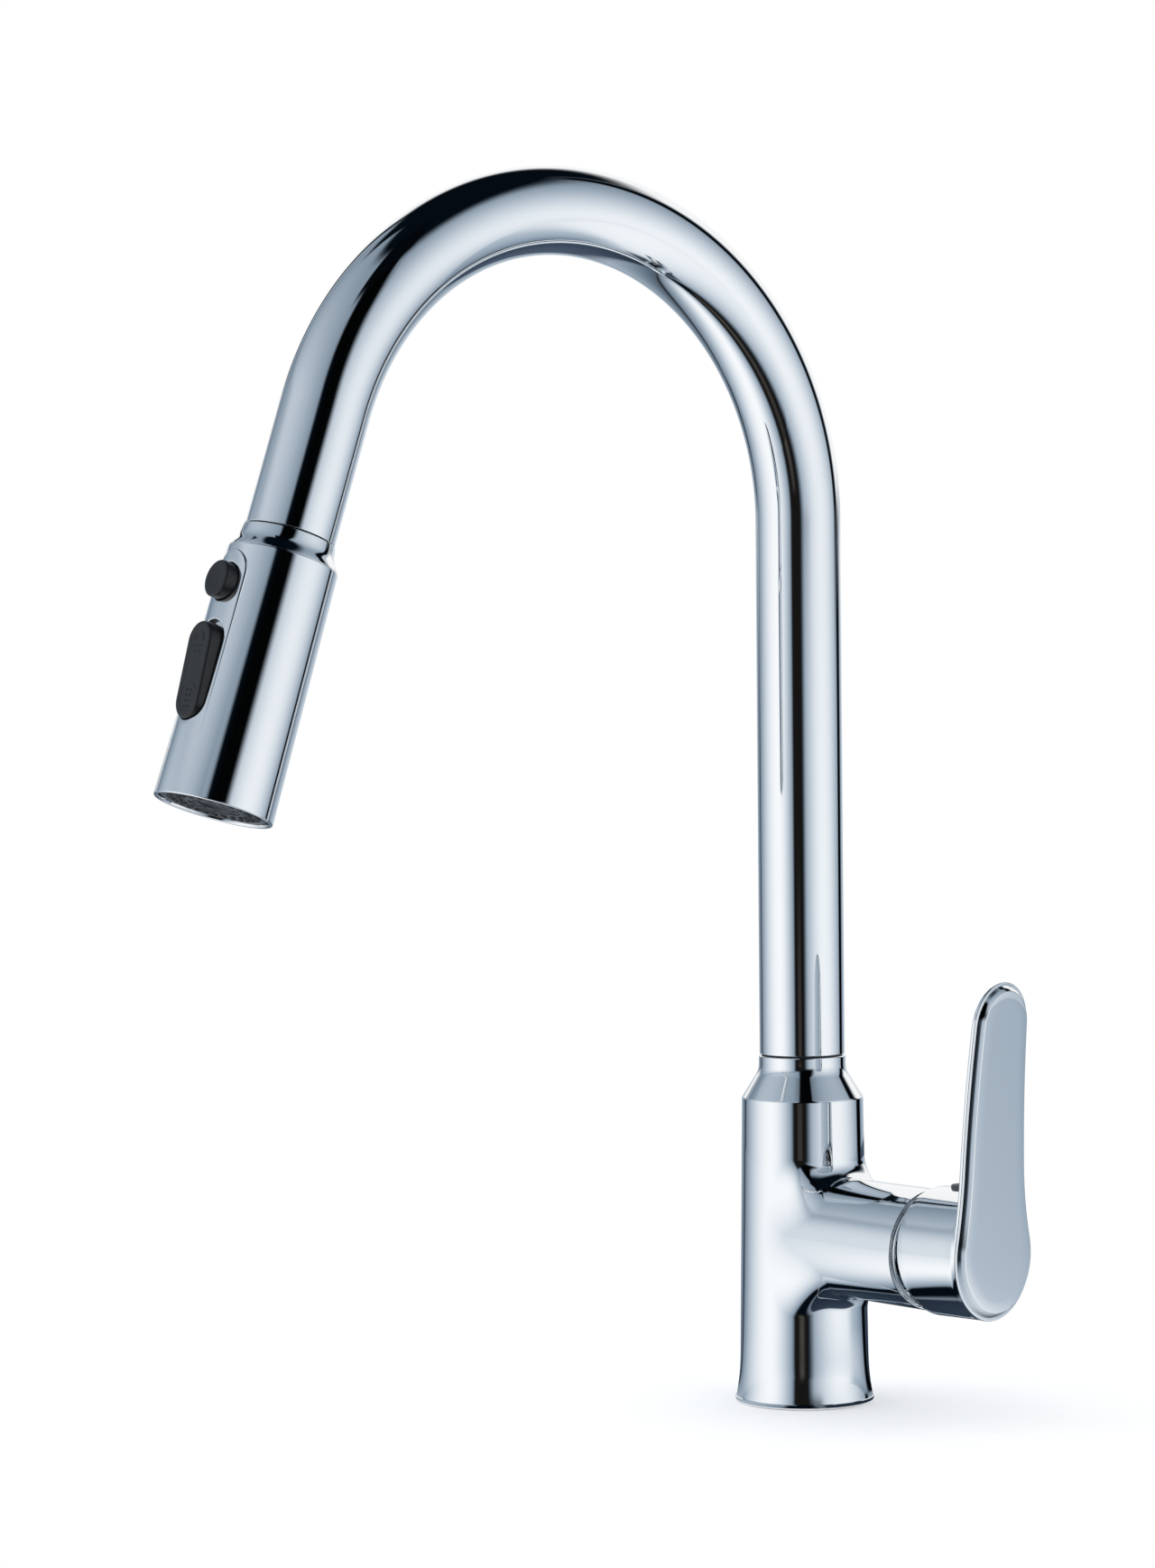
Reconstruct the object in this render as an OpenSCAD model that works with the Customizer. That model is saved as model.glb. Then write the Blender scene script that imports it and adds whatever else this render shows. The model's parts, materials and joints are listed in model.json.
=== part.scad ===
// Pull-down kitchen faucet: a single-lever mixer with a swivelling gooseneck spout
// and a spray head, with a pause button and a mode rocker, on a pull-out hose.
// Millimetres.  The origin is the centre of the underside, +Z runs up the column,
// the spout reaches towards -Y and the lever's boss points towards +X.

/* [Body] */
// Height of the body, from the deck to the swivel joint
body_h = 114; // [104:1:150]
// Diameter of the flared foot
foot_d = 45.8; // [44:0.2:56]
// Diameter of the barrel just above the foot
barrel_d = 42.2; // [41:0.2:50]
// Diameter of the barrel at its shoulder
shoulder_d = 40; // [39:0.2:48]
// Height over which the foot flares
flare_h = 18; // [10:1:24]
// Height of the cone between shoulder and collar
cone_h = 9.2; // [6:0.2:16]
// Height of the straight collar under the swivel joint
collar_h = 4.7; // [3:0.1:10]
// How far the collar stands out past the spout tube, all round
collar_lip = 0.3; // [0:0.1:1]

/* [Side boss] */
// Height of the boss's axis above the deck
boss_h = 55.7; // [50:0.1:60]
// Diameter of the boss
boss_d = 38.6; // [38:0.2:39.2]
// Reach of the boss from the column's axis
boss_reach = 64.1; // [64:0.1:80]
// Radius of the blend between boss and barrel
blend_r = 5; // [3:0.5:8]

/* [Spout] */
// Outside diameter of the spout tube
spout_d = 28; // [28:0.5:34]
// Wall of the spout tube
spout_wall = 1.2; // [0.8:0.1:1.5]
// Straight length of the spout above the swivel joint
riser_l = 175.3; // [80:0.1:260]
// Centreline radius of the gooseneck
arch_r = 96.4; // [70:0.2:130]
// Angle that the gooseneck turns through
arch_angle = 160.9; // [140:0.1:180]
// Straight length between the bend and the spout's mouth
outlet_l = 41.1; // [24:0.1:80]

/* [Lever] */
// Diameter of the lever's hub
hub_d = 41; // [41:0.2:44]
// Upward tilt of the hub with the valve closed
hub_tilt = 1.5; // [0:0.5:4]
// Slant of the hub's rear rim, which clears the boss as the lever lifts
rim_slant = 3.5; // [0:0.5:5]
// How far the lever lifts to open the valve fully, in degrees
lever_lift = 20; // [15:1:22]
// Distance from the pivot to the groove round the lever's face, along the hub
hub_l = 35.6; // [34:0.1:46]
// Reach of the blade's tip above the hub's axis
blade_l = 85.2; // [70:0.1:120]
// Width of the blade at its tip
blade_w = 26.6; // [20:0.2:34]
// Taper of each side of the blade, in degrees
blade_taper = 3.1; // [0.5:0.1:4]
// Depth of the rounded rim behind the groove round the face
blade_back = 1.5; // [1.4:0.1:4]
// Height of the bevelled face above that groove
blade_front = 2.1; // [1.5:0.1:4]
// How far the bevel leads in round the face
blade_bevel = 1.6; // [0.8:0.1:4]
// Twist of the blade about its length
blade_twist = 12; // [0:0.5:16]
// Outward lean of the blade's foot with the valve closed
blade_lean = -0.4; // [-2:0.1:4]
// How far the blade bows outwards by its tip
blade_bow = 5.5; // [0:0.1:8]
// Radius of the concave run from the blade into its round foot
waist_r = 118; // [40:1:150]

/* [Spray head] */
// Length of the flared neck
neck_l = 8; // [7:0.1:12]
// Length of the barrel below the neck
head_l = 78.7; // [76:0.1:110]
// Diameter at the top of the barrel
head_top_d = 34.4; // [34.4:0.1:40]
// Diameter at the spray face
head_end_d = 36.7; // [36.6:0.1:44]
// Wall of the shell
shell_wall = 1.6; // [1.2:0.1:1.6]
// Width of the raised pad round the buttons
pad_w = 15.4; // [14.6:0.1:17]
// Diameter of the pause button
pause_d = 11.6; // [9:0.1:12]
// Place of the pause button below the spout's mouth
pause_at = 20.6; // [20:0.1:21.5]
// Length of the mode rocker
rocker_l = 30; // [24:0.2:32]
// Width of the mode rocker
rocker_w = 12.2; // [10:0.1:12.6]
// Place of the rocker's pivot below the spout's mouth
rocker_at = 48.3; // [47:0.1:52]
// How far the rocker leans, pressed at its lower end
rocker_lean = 4.5; // [2:0.5:5]
// Nozzles in the outer ring of the spray face
nozzles_outer = 30; // [18:1:32]

/* [Hose] */
// Outside diameter of the pull-out hose
hose_d = 12.6; // [10:0.1:13]
// Bore of the hose
hose_bore = 7.2; // [5:0.1:8]

/* [Fits] */
// Radial clearance of shafts and glide rings that turn
running = 0.06; // [0.02:0.01:0.1]
// Gap between pieces that move past each other
gap = 0.3; // [0.3:0.05:0.5]
// Gap in a soldered, screwed or pressed joint
seat = 0.05; // [0.02:0.01:0.1]

/* [Hidden] */

$fn = 96;
eps = 0.01;
weld = 0.05;
edge = 0.4;

// Column
foot_r = foot_d / 2;
barrel_r = barrel_d / 2;
shoulder_r = shoulder_d / 2;
spout_r = spout_d / 2;
spout_bore_r = spout_r - spout_wall;
collar_r = spout_r + collar_lip;
cone_top_z = body_h - collar_h;
shoulder_z = cone_top_z - cone_h;
foot_edge_h = 1.5;
hose_r = hose_d / 2;
passage_r = hose_r + 0.5;

// Swivel: the spindle stands in the body and turns on two glide rings
swivel_gap = 0.55;
spout_z = body_h + swivel_gap;
socket_r = 11.1;
socket_depth = 36;
journal_r = socket_r - 0.5;
journal_l = socket_depth - 2;
groove_r = journal_r - 1.3;
glide_h = 3;
glide_low_z = body_h - journal_l + 3;
glide_high_z = body_h - 3 - glide_h;
lock_groove_h = 4;
lock_z = body_h - 18;
lock_screw_r = 2.5;
lock_tip_r = 1.7;

// Gooseneck
arch_z = spout_z + riser_l;
mouth = [
    0,
    -arch_r * (1 - cos(arch_angle)) - outlet_l * sin(arch_angle),
    arch_z + arch_r * sin(arch_angle) + outlet_l * cos(arch_angle)
];

// Underside: ports and stud holes share one circle, inside a 35 mm deck hole
port_circle_r = 12.6;
port_r = 4.45;
port_depth = 14;
stud_hole_r = 3.4;
stud_depth = 16;
hot_angle = 60;
cold_angle = -60;
mixed_angle = 120;
water_r = 2.4;
riser_r = 2.7;
seal_groove_r = [18.8, 21.4];
seal_groove_depth = 2.2;

// Cartridge, along the boss's axis from the column's axis
boss_r = boss_d / 2;
seat_x = 31;
cartridge_r = 13.9;
thread_x = seat_x + 21;
thread_r = 16.5;
nut_x = thread_x + 0.1;
nut_l = 5.9;
base_x = seat_x + 0.3;
housing_x = seat_x + 7;
neck_r = 11;
neck_bore_r = 9.6;
chamber_r = 11.5;
chamber_top_x = housing_x + 11.4;
housing_end_x = housing_x + 24.5;
fixed_disc_t = 3;
moving_disc_x = housing_x + fixed_disc_t + 0.1;
moving_disc_t = 2.4;
disc_carrier_x = moving_disc_x + moving_disc_t + 0.1;
disc_carrier_t = 2.8;
socket_floor = 0.7;
socket_flare = 0.9;
disc_r = 8.2;
hot_seat = [7.6, -4.2];
cold_seat = [-7.6, -4.2];
mixed_seat = [6.0, 6.3];
seat_ports = [hot_seat, cold_seat, mixed_seat];
seal_r = 4.4;

// Lever: it tilts on a pin through the stem
pivot_x = 56;
stem_w = 7.9;
stem_l = 30;
finger_r = 2.4;
finger_l = 11.3;
pin_r = 1.5;
pin_l = 18;
disc_travel = finger_l * (sin(lever_lift - hub_tilt) + sin(hub_tilt));
slot_half_w = stem_w / 2 + 0.35;
slot_half_h = 7.6;
dome_r = 17.8;
dome_wall = 1.6;
dome_hole_r = 11;
bonnet_flange_r = boss_r - 1;
hub_r = hub_d / 2;
hub_rear = 13;
skirt_wall = 1.7;
skirt_r = hub_r - skirt_wall;
screw_at = 21.6;
handle_screw_r = 2.5;
plug_r = 3.3;
plug_rise = 1.2;
rim_step = 0.9;
rim_roll = 1;
foot_blade_r = hub_r + 0.1 - rim_step;
tip_r = blade_w / 2;
tip_v = blade_l - tip_r;
cavity_r = dome_r + 1;
cavity_l = 17;

// Spray head, along the outlet's axis from the spout's mouth
neck_top = 0.4;
head_end = neck_l + head_l;
head_top_r = head_top_d / 2;
head_end_r = head_end_d / 2;
coupling_r = 8.6;
journal2_r = 6.2;
flange_r = 8.9;
web_end = neck_l + 0.4;
flange_at = web_end + gap;
flange_t = 2.2;
skirt2_r = 13.9;
skirt2_bore_r = 12.1;
skirt2_end = neck_l + 6.2;
core_top = neck_l + 3.2;
core_shoulder = skirt2_end + 0.2;
core_r = 15;
core_end = head_end - 16.7;
pad_crown_r = 23;
pad_front = 17.6;
window_gap = 0.35;
pause_window_r = pause_d / 2 + window_gap;
pause_front = 21;
pause_travel = 2.4;
pause_cap_y = 14.6;
pause_stem_r = 4;
pause_stem_y = 10;
pause_hole_y = 7;
pivot_y = 11;
rocker_front = 20.1;
rocker_pin_r = 1.25;
rocker_window_gap = 0.9;
plate_top = head_end - 4.2;
plate_end = head_end - 1.2;
plate_r = head_end_r - shell_wall - 0.3;
mat_t = 2.9;
aerator_r = 8;
aerator_top = head_end - 10.7;
dock_depth = 16;
ferrule_l = 15;
bush_bore_r = 9.35;

// ---------------------------------------------------------------- helpers

// Places children with their +Z along the boss, from the column's axis
module along_boss() {
    translate([0, 0, boss_h]) rotate([0, 90, 0]) rotate([0, 0, 90]) children();
}

// Places children in the lever's frame: +X along the hub, from the pivot
module at_pivot() {
    translate([pivot_x, 0, boss_h]) rotate([0, -hub_tilt, 0]) children();
}

// Places children on the blade's plane: +X across, +Y up the blade, +Z outwards
module at_blade() {
    at_pivot() translate([hub_l, 0, 0])
        rotate([0, hub_tilt + blade_lean, 0]) rotate([0, 0, blade_twist]) rotate([90, 0, 90])
            children();
}

// Places children with +Z along the outflow and +Y to the head's button side
module at_mouth() {
    translate(mouth) rotate([arch_angle, 0, 0]) children();
}

// Turns children so that their +Z points out of the head's button side
module facing_buttons() {
    rotate([-90, 0, 0]) children();
}

module ring(r_out, r_in, h) {
    difference() {
        cylinder(r = r_out, h = h);
        translate([0, 0, -1]) cylinder(r = r_in, h = h + 2);
    }
}

module o_ring(r_mid, r_wire) {
    rotate_extrude() translate([r_mid, 0]) circle(r = r_wire, $fn = 32);
}

// A slot outline, l long along Y and w wide
module slot_outline(w, l) {
    union() {
        translate([0, (l - w) / 2]) circle(r = w / 2);
        translate([0, -(l - w) / 2]) circle(r = w / 2);
        square([w, l - w], center = true);
    }
}

// A round tube up the column, round the bend and down to w past the mouth.  The wall of
// the bend is a hair thicker, so that the straight end seats inside it.
module along_spout(r_out, r_in, z_start, w_end) {
    translate([0, 0, z_start]) ring(r_out, r_in, arch_z - z_start);
    translate([0, -arch_r, arch_z]) rotate([90, 0, 90])
        rotate_extrude(angle = arch_angle) translate([arch_r, 0]) difference() {
            circle(r = r_out + weld);
            circle(r = r_in - weld);
        }
    at_mouth() translate([0, 0, -outlet_l - 0.2]) ring(r_out, r_in, outlet_l + 0.2 + w_end);
}

// Outline points of an arc about c, from angle a0 to a1
function arc(c, r, a0, a1, n) = [
    for (i = [0:n]) let (a = a0 + (a1 - a0) * i / n) c + r * [cos(a), sin(a)]
];

// ---------------------------------------------------------------- body

// Half outline of the body: foot, flare, tapered barrel, cone and collar
function flare_r(z) = barrel_r + (foot_r - barrel_r) * pow(1 - z / flare_h, 2.6);
body_outline = concat(
    [[0, 0], [foot_r - edge, 0], [foot_r, edge], [foot_r, foot_edge_h]],
    [for (i = [1:8]) let (z = foot_edge_h + (flare_h - foot_edge_h) * i / 8) [flare_r(z), z]],
    [
        [shoulder_r, shoulder_z - edge], [shoulder_r - 0.3, shoulder_z],
        [collar_r, cone_top_z], [collar_r, body_h - 0.3], [collar_r - 0.3, body_h], [0, body_h]
    ]
);

// Radius of the barrel's straight taper at height z
function barrel_side_r(z) =
    barrel_r + (shoulder_r - barrel_r) * (z - flare_h) / (shoulder_z - flare_h);

// Rolling-ball blend between barrel and boss.  Each section round the boss's axis is an
// arc from the barrel to the boss, with its ends sunk by a hair, and a root inside both.
module boss_blend() {
    turns = 48;
    steps = 6;
    ring_n = steps + 2;
    root_r = boss_r - 3;
    sections = [
        for (i = [0:turns - 1]) let (
            out = [0, sin(i * 360 / turns), cos(i * 360 / turns)],
            axis_c = [0, 0, boss_h] + (boss_r + blend_r) * out,
            ball_r = barrel_side_r(axis_c[2]) + blend_r,
            c = axis_c + [sqrt(pow(ball_r, 2) - pow(axis_c[1], 2)), 0, 0],
            to_barrel = -[c[0], c[1], 0] / ball_r,
            span = acos(-to_barrel * out)
        ) concat(
            [for (k = [0:steps]) c + (blend_r + weld) / sin(span)
                * (sin(span * (1 - k / steps)) * to_barrel - sin(span * k / steps) * out)],
            [[barrel_r / 2, 0, boss_h] + root_r * out]
        )
    ];
    polyhedron(
        points = [for (s = sections) each s],
        faces = [
            for (i = [0:turns - 1], k = [0:ring_n - 1]) let (
                a = i * ring_n + k,
                b = i * ring_n + (k + 1) % ring_n,
                c = (i + 1) % turns * ring_n + (k + 1) % ring_n,
                d = (i + 1) % turns * ring_n + k
            ) each [[a, c, b], [a, d, c]]
        ]
    );
}

module port_hole(angle, r, depth) {
    rotate([0, 0, angle]) translate([port_circle_r, 0, -1]) cylinder(r = r, h = depth + 1);
}

// A waterway: up from the underside, then across to its port in the cartridge seat
module waterway(angle, port) {
    foot = port_circle_r * [cos(angle), sin(angle)];
    run = [seat_x, port[0]] - foot;
    z = boss_h + port[1];
    port_hole(angle, riser_r, z + riser_r + 0.5);
    translate([foot[0], foot[1], z]) rotate([0, 0, atan2(run[1], run[0])])
        rotate([0, 90, 0]) cylinder(r = water_r, h = norm(run) + 1);
}

module valve_body() {
    color("#d6dbe1") difference() {
        union() {
            rotate_extrude() polygon(body_outline);
            boss_blend();
            along_boss() cylinder(r = boss_r, h = boss_reach - edge);
            along_boss() translate([0, 0, boss_reach - edge - eps])
                cylinder(r1 = boss_r, r2 = boss_r - edge, h = edge + eps);
        }
        translate([0, 0, -1]) cylinder(r = passage_r, h = body_h);
        translate([0, 0, body_h - socket_depth]) cylinder(r = socket_r, h = socket_depth + 1);
        along_boss() translate([0, 0, seat_x]) cylinder(r = cartridge_r + 0.1, h = boss_reach);
        along_boss() translate([0, 0, thread_x]) cylinder(r = thread_r, h = boss_reach);
        waterway(hot_angle, hot_seat);
        waterway(cold_angle, cold_seat);
        waterway(mixed_angle, mixed_seat);
        for (a = [hot_angle, cold_angle, mixed_angle]) port_hole(a, port_r, port_depth);
        for (a = [0, 180]) port_hole(a, stud_hole_r, stud_depth);
        translate([0, 0, -1]) ring(seal_groove_r[1], seal_groove_r[0], seal_groove_depth + 1);
        translate([0, 0, lock_z]) rotate([-90, 0, 0]) cylinder(r = lock_screw_r, h = foot_r + 1);
    }
}

module base_seal() {
    color("#26282a") translate([0, 0, 1.1])
        o_ring((seal_groove_r[0] + seal_groove_r[1]) / 2, 1.05);
}

// Grub screw in the back of the body, whose tip runs in the spindle's groove
module spout_screw() {
    tip = groove_r + gap + 0.1;
    color("#8d9093") translate([0, 0, lock_z]) rotate([-90, 0, 0]) difference() {
        union() {
            translate([0, 0, tip]) cylinder(r = lock_tip_r, h = 3);
            translate([0, 0, socket_r + 0.2])
                cylinder(r = lock_screw_r - seat, h = shoulder_r - socket_r - 1);
        }
        translate([0, 0, shoulder_r - 3.2]) cylinder(r = 1.45, h = 4, $fn = 6);
    }
}

// ---------------------------------------------------------------- cartridge

module port_seals() {
    color("#2c2e30") along_boss() for (p = seat_ports)
        translate([p[0], p[1], seat_x + 0.02]) ring(seal_r, water_r + 0.6, 1.5);
}

module cartridge_base() {
    color("#e9e8e2") along_boss() difference() {
        translate([0, 0, base_x]) cylinder(r = cartridge_r, h = housing_x - base_x - seat);
        for (p = seat_ports) translate([p[0], p[1], 0]) {
            translate([0, 0, base_x - 1]) cylinder(r = water_r, h = 12);
            translate([0, 0, base_x - 1]) cylinder(r = seal_r + seat, h = 2.25);
        }
    }
}

module fixed_disc() {
    color("#f4f4f0") along_boss() difference() {
        translate([0, 0, housing_x]) cylinder(r = chamber_r - 0.3, h = fixed_disc_t);
        for (p = seat_ports) translate([p[0], p[1], housing_x - 1]) cylinder(r = water_r, h = 9);
    }
}

module cartridge_housing() {
    color("#f0efe9") along_boss() difference() {
        union() {
            translate([0, 0, housing_x]) cylinder(r = cartridge_r, h = thread_x - housing_x);
            translate([0, 0, thread_x - eps])
                cylinder(r = neck_r, h = housing_end_x - thread_x + eps);
        }
        translate([0, 0, housing_x - 1]) cylinder(r = chamber_r, h = chamber_top_x - housing_x + 1);
        translate([0, 0, chamber_top_x - 1]) cylinder(r = neck_bore_r, h = 30);
    }
}

module cartridge_nut() {
    color("#c9a24b") along_boss() difference() {
        translate([0, 0, nut_x]) cylinder(r = thread_r - seat, h = nut_l);
        translate([0, 0, nut_x - 1]) cylinder(r = neck_r + 0.1, h = nut_l + 2);
        for (a = [0, 90]) rotate([0, 0, a]) translate([-20, -1.5, nut_x + nut_l - 2])
            cube([40, 3, 3]);
    }
}

// Domed cover that the hub's skirt glides round as the lever tilts
module bonnet() {
    flange_x = boss_reach + 0.1;
    dome_x = flange_x + 1.2;
    bore_r = neck_r + 3.2;
    rim_out = asin(dome_hole_r / dome_r);
    rim_in = asin(dome_hole_r / (dome_r - dome_wall));
    foot_out = acos((dome_x - pivot_x) / dome_r);
    foot_in = asin(bore_r / (dome_r - dome_wall));
    // A point of the dome at angle a off the boss's axis
    function dome(r, a) = [r * sin(a), pivot_x + r * cos(a)];
    start_x = nut_x + nut_l + 0.2;
    color("#dfe3e8") along_boss() rotate_extrude() polygon(concat(
        [[bore_r, start_x], [thread_r - seat, start_x], [thread_r - seat, flange_x]],
        [[bonnet_flange_r, flange_x], [bonnet_flange_r, dome_x]],
        [for (i = [0:8]) dome(dome_r, foot_out + (rim_out - foot_out) * i / 8)],
        [for (i = [0:8]) dome(dome_r - dome_wall, rim_in + (foot_in - rim_in) * i / 8)]
    ));
}

// Turns in the housing with the lever, and lets the stem tilt in its slot
module stem_carrier() {
    flange_x = chamber_top_x - 2.5;
    color("#3a7ca5") along_boss() difference() {
        union() {
            translate([0, 0, flange_x]) cylinder(r = chamber_r - 0.3, h = 2.3);
            translate([0, 0, flange_x]) cylinder(r = neck_bore_r - running, h = 14.6);
        }
        translate([0, 0, flange_x - 1]) cylinder(r = 6.8, h = 3.3);
        translate([-slot_half_w, -slot_half_h, flange_x + 2.2])
            cube([2 * slot_half_w, 2 * slot_half_h, 20]);
        translate([0, 0, pivot_x]) rotate([0, 90, 0])
            cylinder(r = pin_r + 0.02, h = 40, center = true);
    }
}

module pivot_pin() {
    color("#b9bdc1") translate([pivot_x, 0, boss_h]) rotate([90, 0, 0])
        cylinder(r = pin_r, h = pin_l, center = true);
}

// The discs stand below the boss's axis with the valve closed, and as far above it when open
module disc_carrier() {
    color("#e0703a") along_boss() difference() {
        translate([0, -disc_travel / 2, disc_carrier_x]) cylinder(r = disc_r, h = disc_carrier_t);
        translate([0, -finger_l * sin(hub_tilt), disc_carrier_x + socket_floor])
            cylinder(r1 = finger_r + gap, r2 = finger_r + gap + socket_flare, h = disc_carrier_t);
    }
}

module moving_disc() {
    color("#fafaf7") along_boss() translate([0, -disc_travel / 2, moving_disc_x]) difference() {
        cylinder(r = disc_r, h = moving_disc_t);
        translate([0, 0, -1]) cylinder(r = 5.4, h = 2.2);
    }
}

// ---------------------------------------------------------------- lever

// Half outline of the blade, from the bottom of its round foot to the tip's crown.
// A concave arc joins the foot to the tapered side, tangent to both.
side_normal = [cos(blade_taper), sin(blade_taper)];
side_down = [sin(blade_taper), -cos(blade_taper)];
waist_from = [0, tip_v] + (tip_r + waist_r) * side_normal;
waist_run = tip_v * cos(blade_taper)
    - sqrt(pow(tip_v * cos(blade_taper), 2) - waist_from * waist_from
        + pow(foot_blade_r + waist_r, 2));
waist_c = waist_from + waist_run * side_down;
foot_angle = atan2(waist_c[1], waist_c[0]);
function blade_half(inset) = concat(
    arc([0, 0], foot_blade_r - inset, -90, foot_angle, 20),
    arc(waist_c, waist_r + inset, 180 + foot_angle - 2, 180 + blade_taper, 8),
    arc([0, tip_v], tip_r - inset, blade_taper, 90, 18)
);
function blade_ring(inset) = let (half = blade_half(inset), n = len(half)) concat(
    half, [for (i = [n - 2:-1:1]) [-half[i][0], half[i][1]]]
);

// Height that the bow adds at v up the blade
function bow(v) = blade_bow * pow(max(v, 0) / blade_l, 2);

// The blade is lofted through rings, each [height, inset]: the rolled rim, the groove
// and the bevel up to the face
module blade() {
    sections = concat(
        [for (a = [0:30:90])
            [-blade_back + rim_roll * (1 - cos(a)), -rim_step + rim_roll * (1 - sin(a))]],
        [for (a = [30:30:90]) [-0.45 * cos(a), -rim_step + (rim_step - 0.1) * (1 - cos(a))]],
        [
            [0, 0], [blade_front - 0.3, blade_bevel - 0.2], [blade_front - 0.1, blade_bevel],
            [blade_front, blade_bevel + 0.35]
        ]
    );
    rings = [for (s = sections)
        [for (p = blade_ring(s[1])) [p[0], p[1], s[0] + bow(p[1])]]];
    n = len(rings[0]);
    polyhedron(
        points = [for (r = rings) each r],
        faces = concat(
            [[for (i = [n - 1:-1:0]) (len(rings) - 1) * n + i]],
            [[for (i = [0:n - 1]) i]],
            [for (k = [0:len(rings) - 2], i = [0:n - 1]) let (j = (i + 1) % n)
                each [[k * n + i, (k + 1) * n + i, k * n + j],
                    [k * n + j, (k + 1) * n + i, (k + 1) * n + j]]]
        )
    );
}

module lever_handle() {
    color("#dde2e8") difference() {
        union() {
            at_blade() blade();
            difference() {
                at_pivot() rotate([0, 90, 0]) cylinder(r = hub_r, h = hub_l + hub_r);
                at_blade() translate([-60, -60, 0]) cube([120, 120, 60]);
            }
        }
        at_pivot() translate([hub_rear, 0, 0]) rotate([0, -rim_slant, 0])
            translate([-60, -60, -60]) cube([60, 120, 120]);
        at_pivot() rotate([0, 90, 0]) {
            cylinder(r = skirt_r, h = cavity_l);
            sphere(r = cavity_r);
        }
        at_pivot() translate([10, -stem_w / 2 - seat, -stem_w / 2 - seat])
            cube([stem_l - 10 + 0.2, stem_w + 2 * seat, stem_w + 2 * seat]);
        at_pivot() translate([screw_at, 0, 0]) cylinder(r = handle_screw_r, h = hub_r + 2);
        at_pivot() translate([screw_at, 0, hub_r - 4]) cylinder(r = plug_r, h = 10);
    }
}

module lever_stem() {
    color("#c7a356") at_pivot() difference() {
        union() {
            translate([-3, -stem_w / 2, -stem_w / 2]) cube([stem_l + 3, stem_w, stem_w]);
            translate([-finger_l, 0, 0]) rotate([0, 90, 0]) cylinder(r = finger_r, h = 9);
        }
        rotate([90, 0, 0]) cylinder(r = pin_r + running, h = 20, center = true);
    }
}

module handle_screw() {
    color("#8d9093") at_pivot() translate([screw_at, 0, stem_w / 2 + seat]) difference() {
        cylinder(r = handle_screw_r - seat, h = 9);
        translate([0, 0, 6]) cylinder(r = 1.45, h = 4, $fn = 6);
    }
}

// Ribbed push-in plug over the handle's screw
module screw_plug() {
    top = hub_r + plug_rise;
    color("#6d7073") at_pivot() translate([screw_at, 0, 0]) {
        translate([0, 0, hub_r - 4 + seat]) cylinder(r = plug_r - seat, h = top - hub_r + 3.5);
        translate([0, 0, top - 0.5]) cylinder(r1 = plug_r - seat, r2 = plug_r - 0.6, h = 0.5);
    }
}

// ---------------------------------------------------------------- spout

module gooseneck_tube() {
    color("#d9dee4") along_spout(spout_r, spout_bore_r, spout_z, 0);
}

// Brass tail soldered into the tube: it stands in the body and turns there
module spout_spindle() {
    bottom = body_h - journal_l;
    color("#c9a24b") difference() {
        union() {
            translate([0, 0, bottom]) cylinder(r = journal_r, h = spout_z - bottom + eps);
            translate([0, 0, spout_z]) cylinder(r = spout_bore_r - seat, h = 18);
        }
        translate([0, 0, bottom - 1]) cylinder(r = hose_r + 1, h = 80);
        for (z = [glide_low_z, glide_high_z]) translate([0, 0, z])
            ring(journal_r + 1, groove_r, glide_h);
        translate([0, 0, lock_z - lock_groove_h / 2]) ring(journal_r + 1, groove_r, lock_groove_h);
    }
}

module glide_ring(z) {
    color("#efeee9") translate([0, 0, z + seat])
        ring(socket_r - running, groove_r + seat, glide_h - 2 * seat);
}

module glide_ring_upper() {
    glide_ring(glide_high_z);
}

module glide_ring_lower() {
    glide_ring(glide_low_z);
}

module swivel_washer() {
    color("#3b3d40") translate([0, 0, body_h + seat])
        ring(spout_r - 0.7, socket_r + 0.3, swivel_gap - 2 * seat);
}

module dock_bush() {
    color("#2b2d30") at_mouth() translate([0, 0, -dock_depth]) difference() {
        ring(spout_bore_r - seat, bush_bore_r, dock_depth - gap);
        translate([0, 0, 7]) ring(spout_bore_r + 1, bush_bore_r + 1.4, 5);
    }
}

module dock_magnet() {
    color("#55585c") at_mouth() translate([0, 0, 7 - dock_depth + seat])
        ring(spout_bore_r - 2 * seat, bush_bore_r + 1.4 + seat, 5 - 2 * seat);
}

module pull_hose() {
    color("#77797c") along_spout(hose_r, hose_bore / 2, 1, -ferrule_l - 0.5);
}

// ---------------------------------------------------------------- hose end

module hose_ferrule() {
    color("#c3c7cb") at_mouth() translate([0, 0, -ferrule_l])
        ring(coupling_r, hose_bore / 2, ferrule_l + neck_top + 0.5);
}

// Its journal turns in the neck, so that the head can twist on the hose
module hose_coupling() {
    start = neck_top + 0.5;
    color("#c9a24b") at_mouth() difference() {
        union() {
            translate([0, 0, start]) cylinder(r = journal2_r, h = flange_at - start + eps);
            translate([0, 0, flange_at]) cylinder(r = flange_r, h = flange_t);
        }
        translate([0, 0, start - 1]) cylinder(r = hose_bore / 2, h = 30);
    }
}

module dock_ring() {
    color("#9ea2a6") at_mouth() translate([0, 0, -10]) ring(coupling_r + 0.4, coupling_r + 0.02, 7);
}

// ---------------------------------------------------------------- spray head

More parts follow.
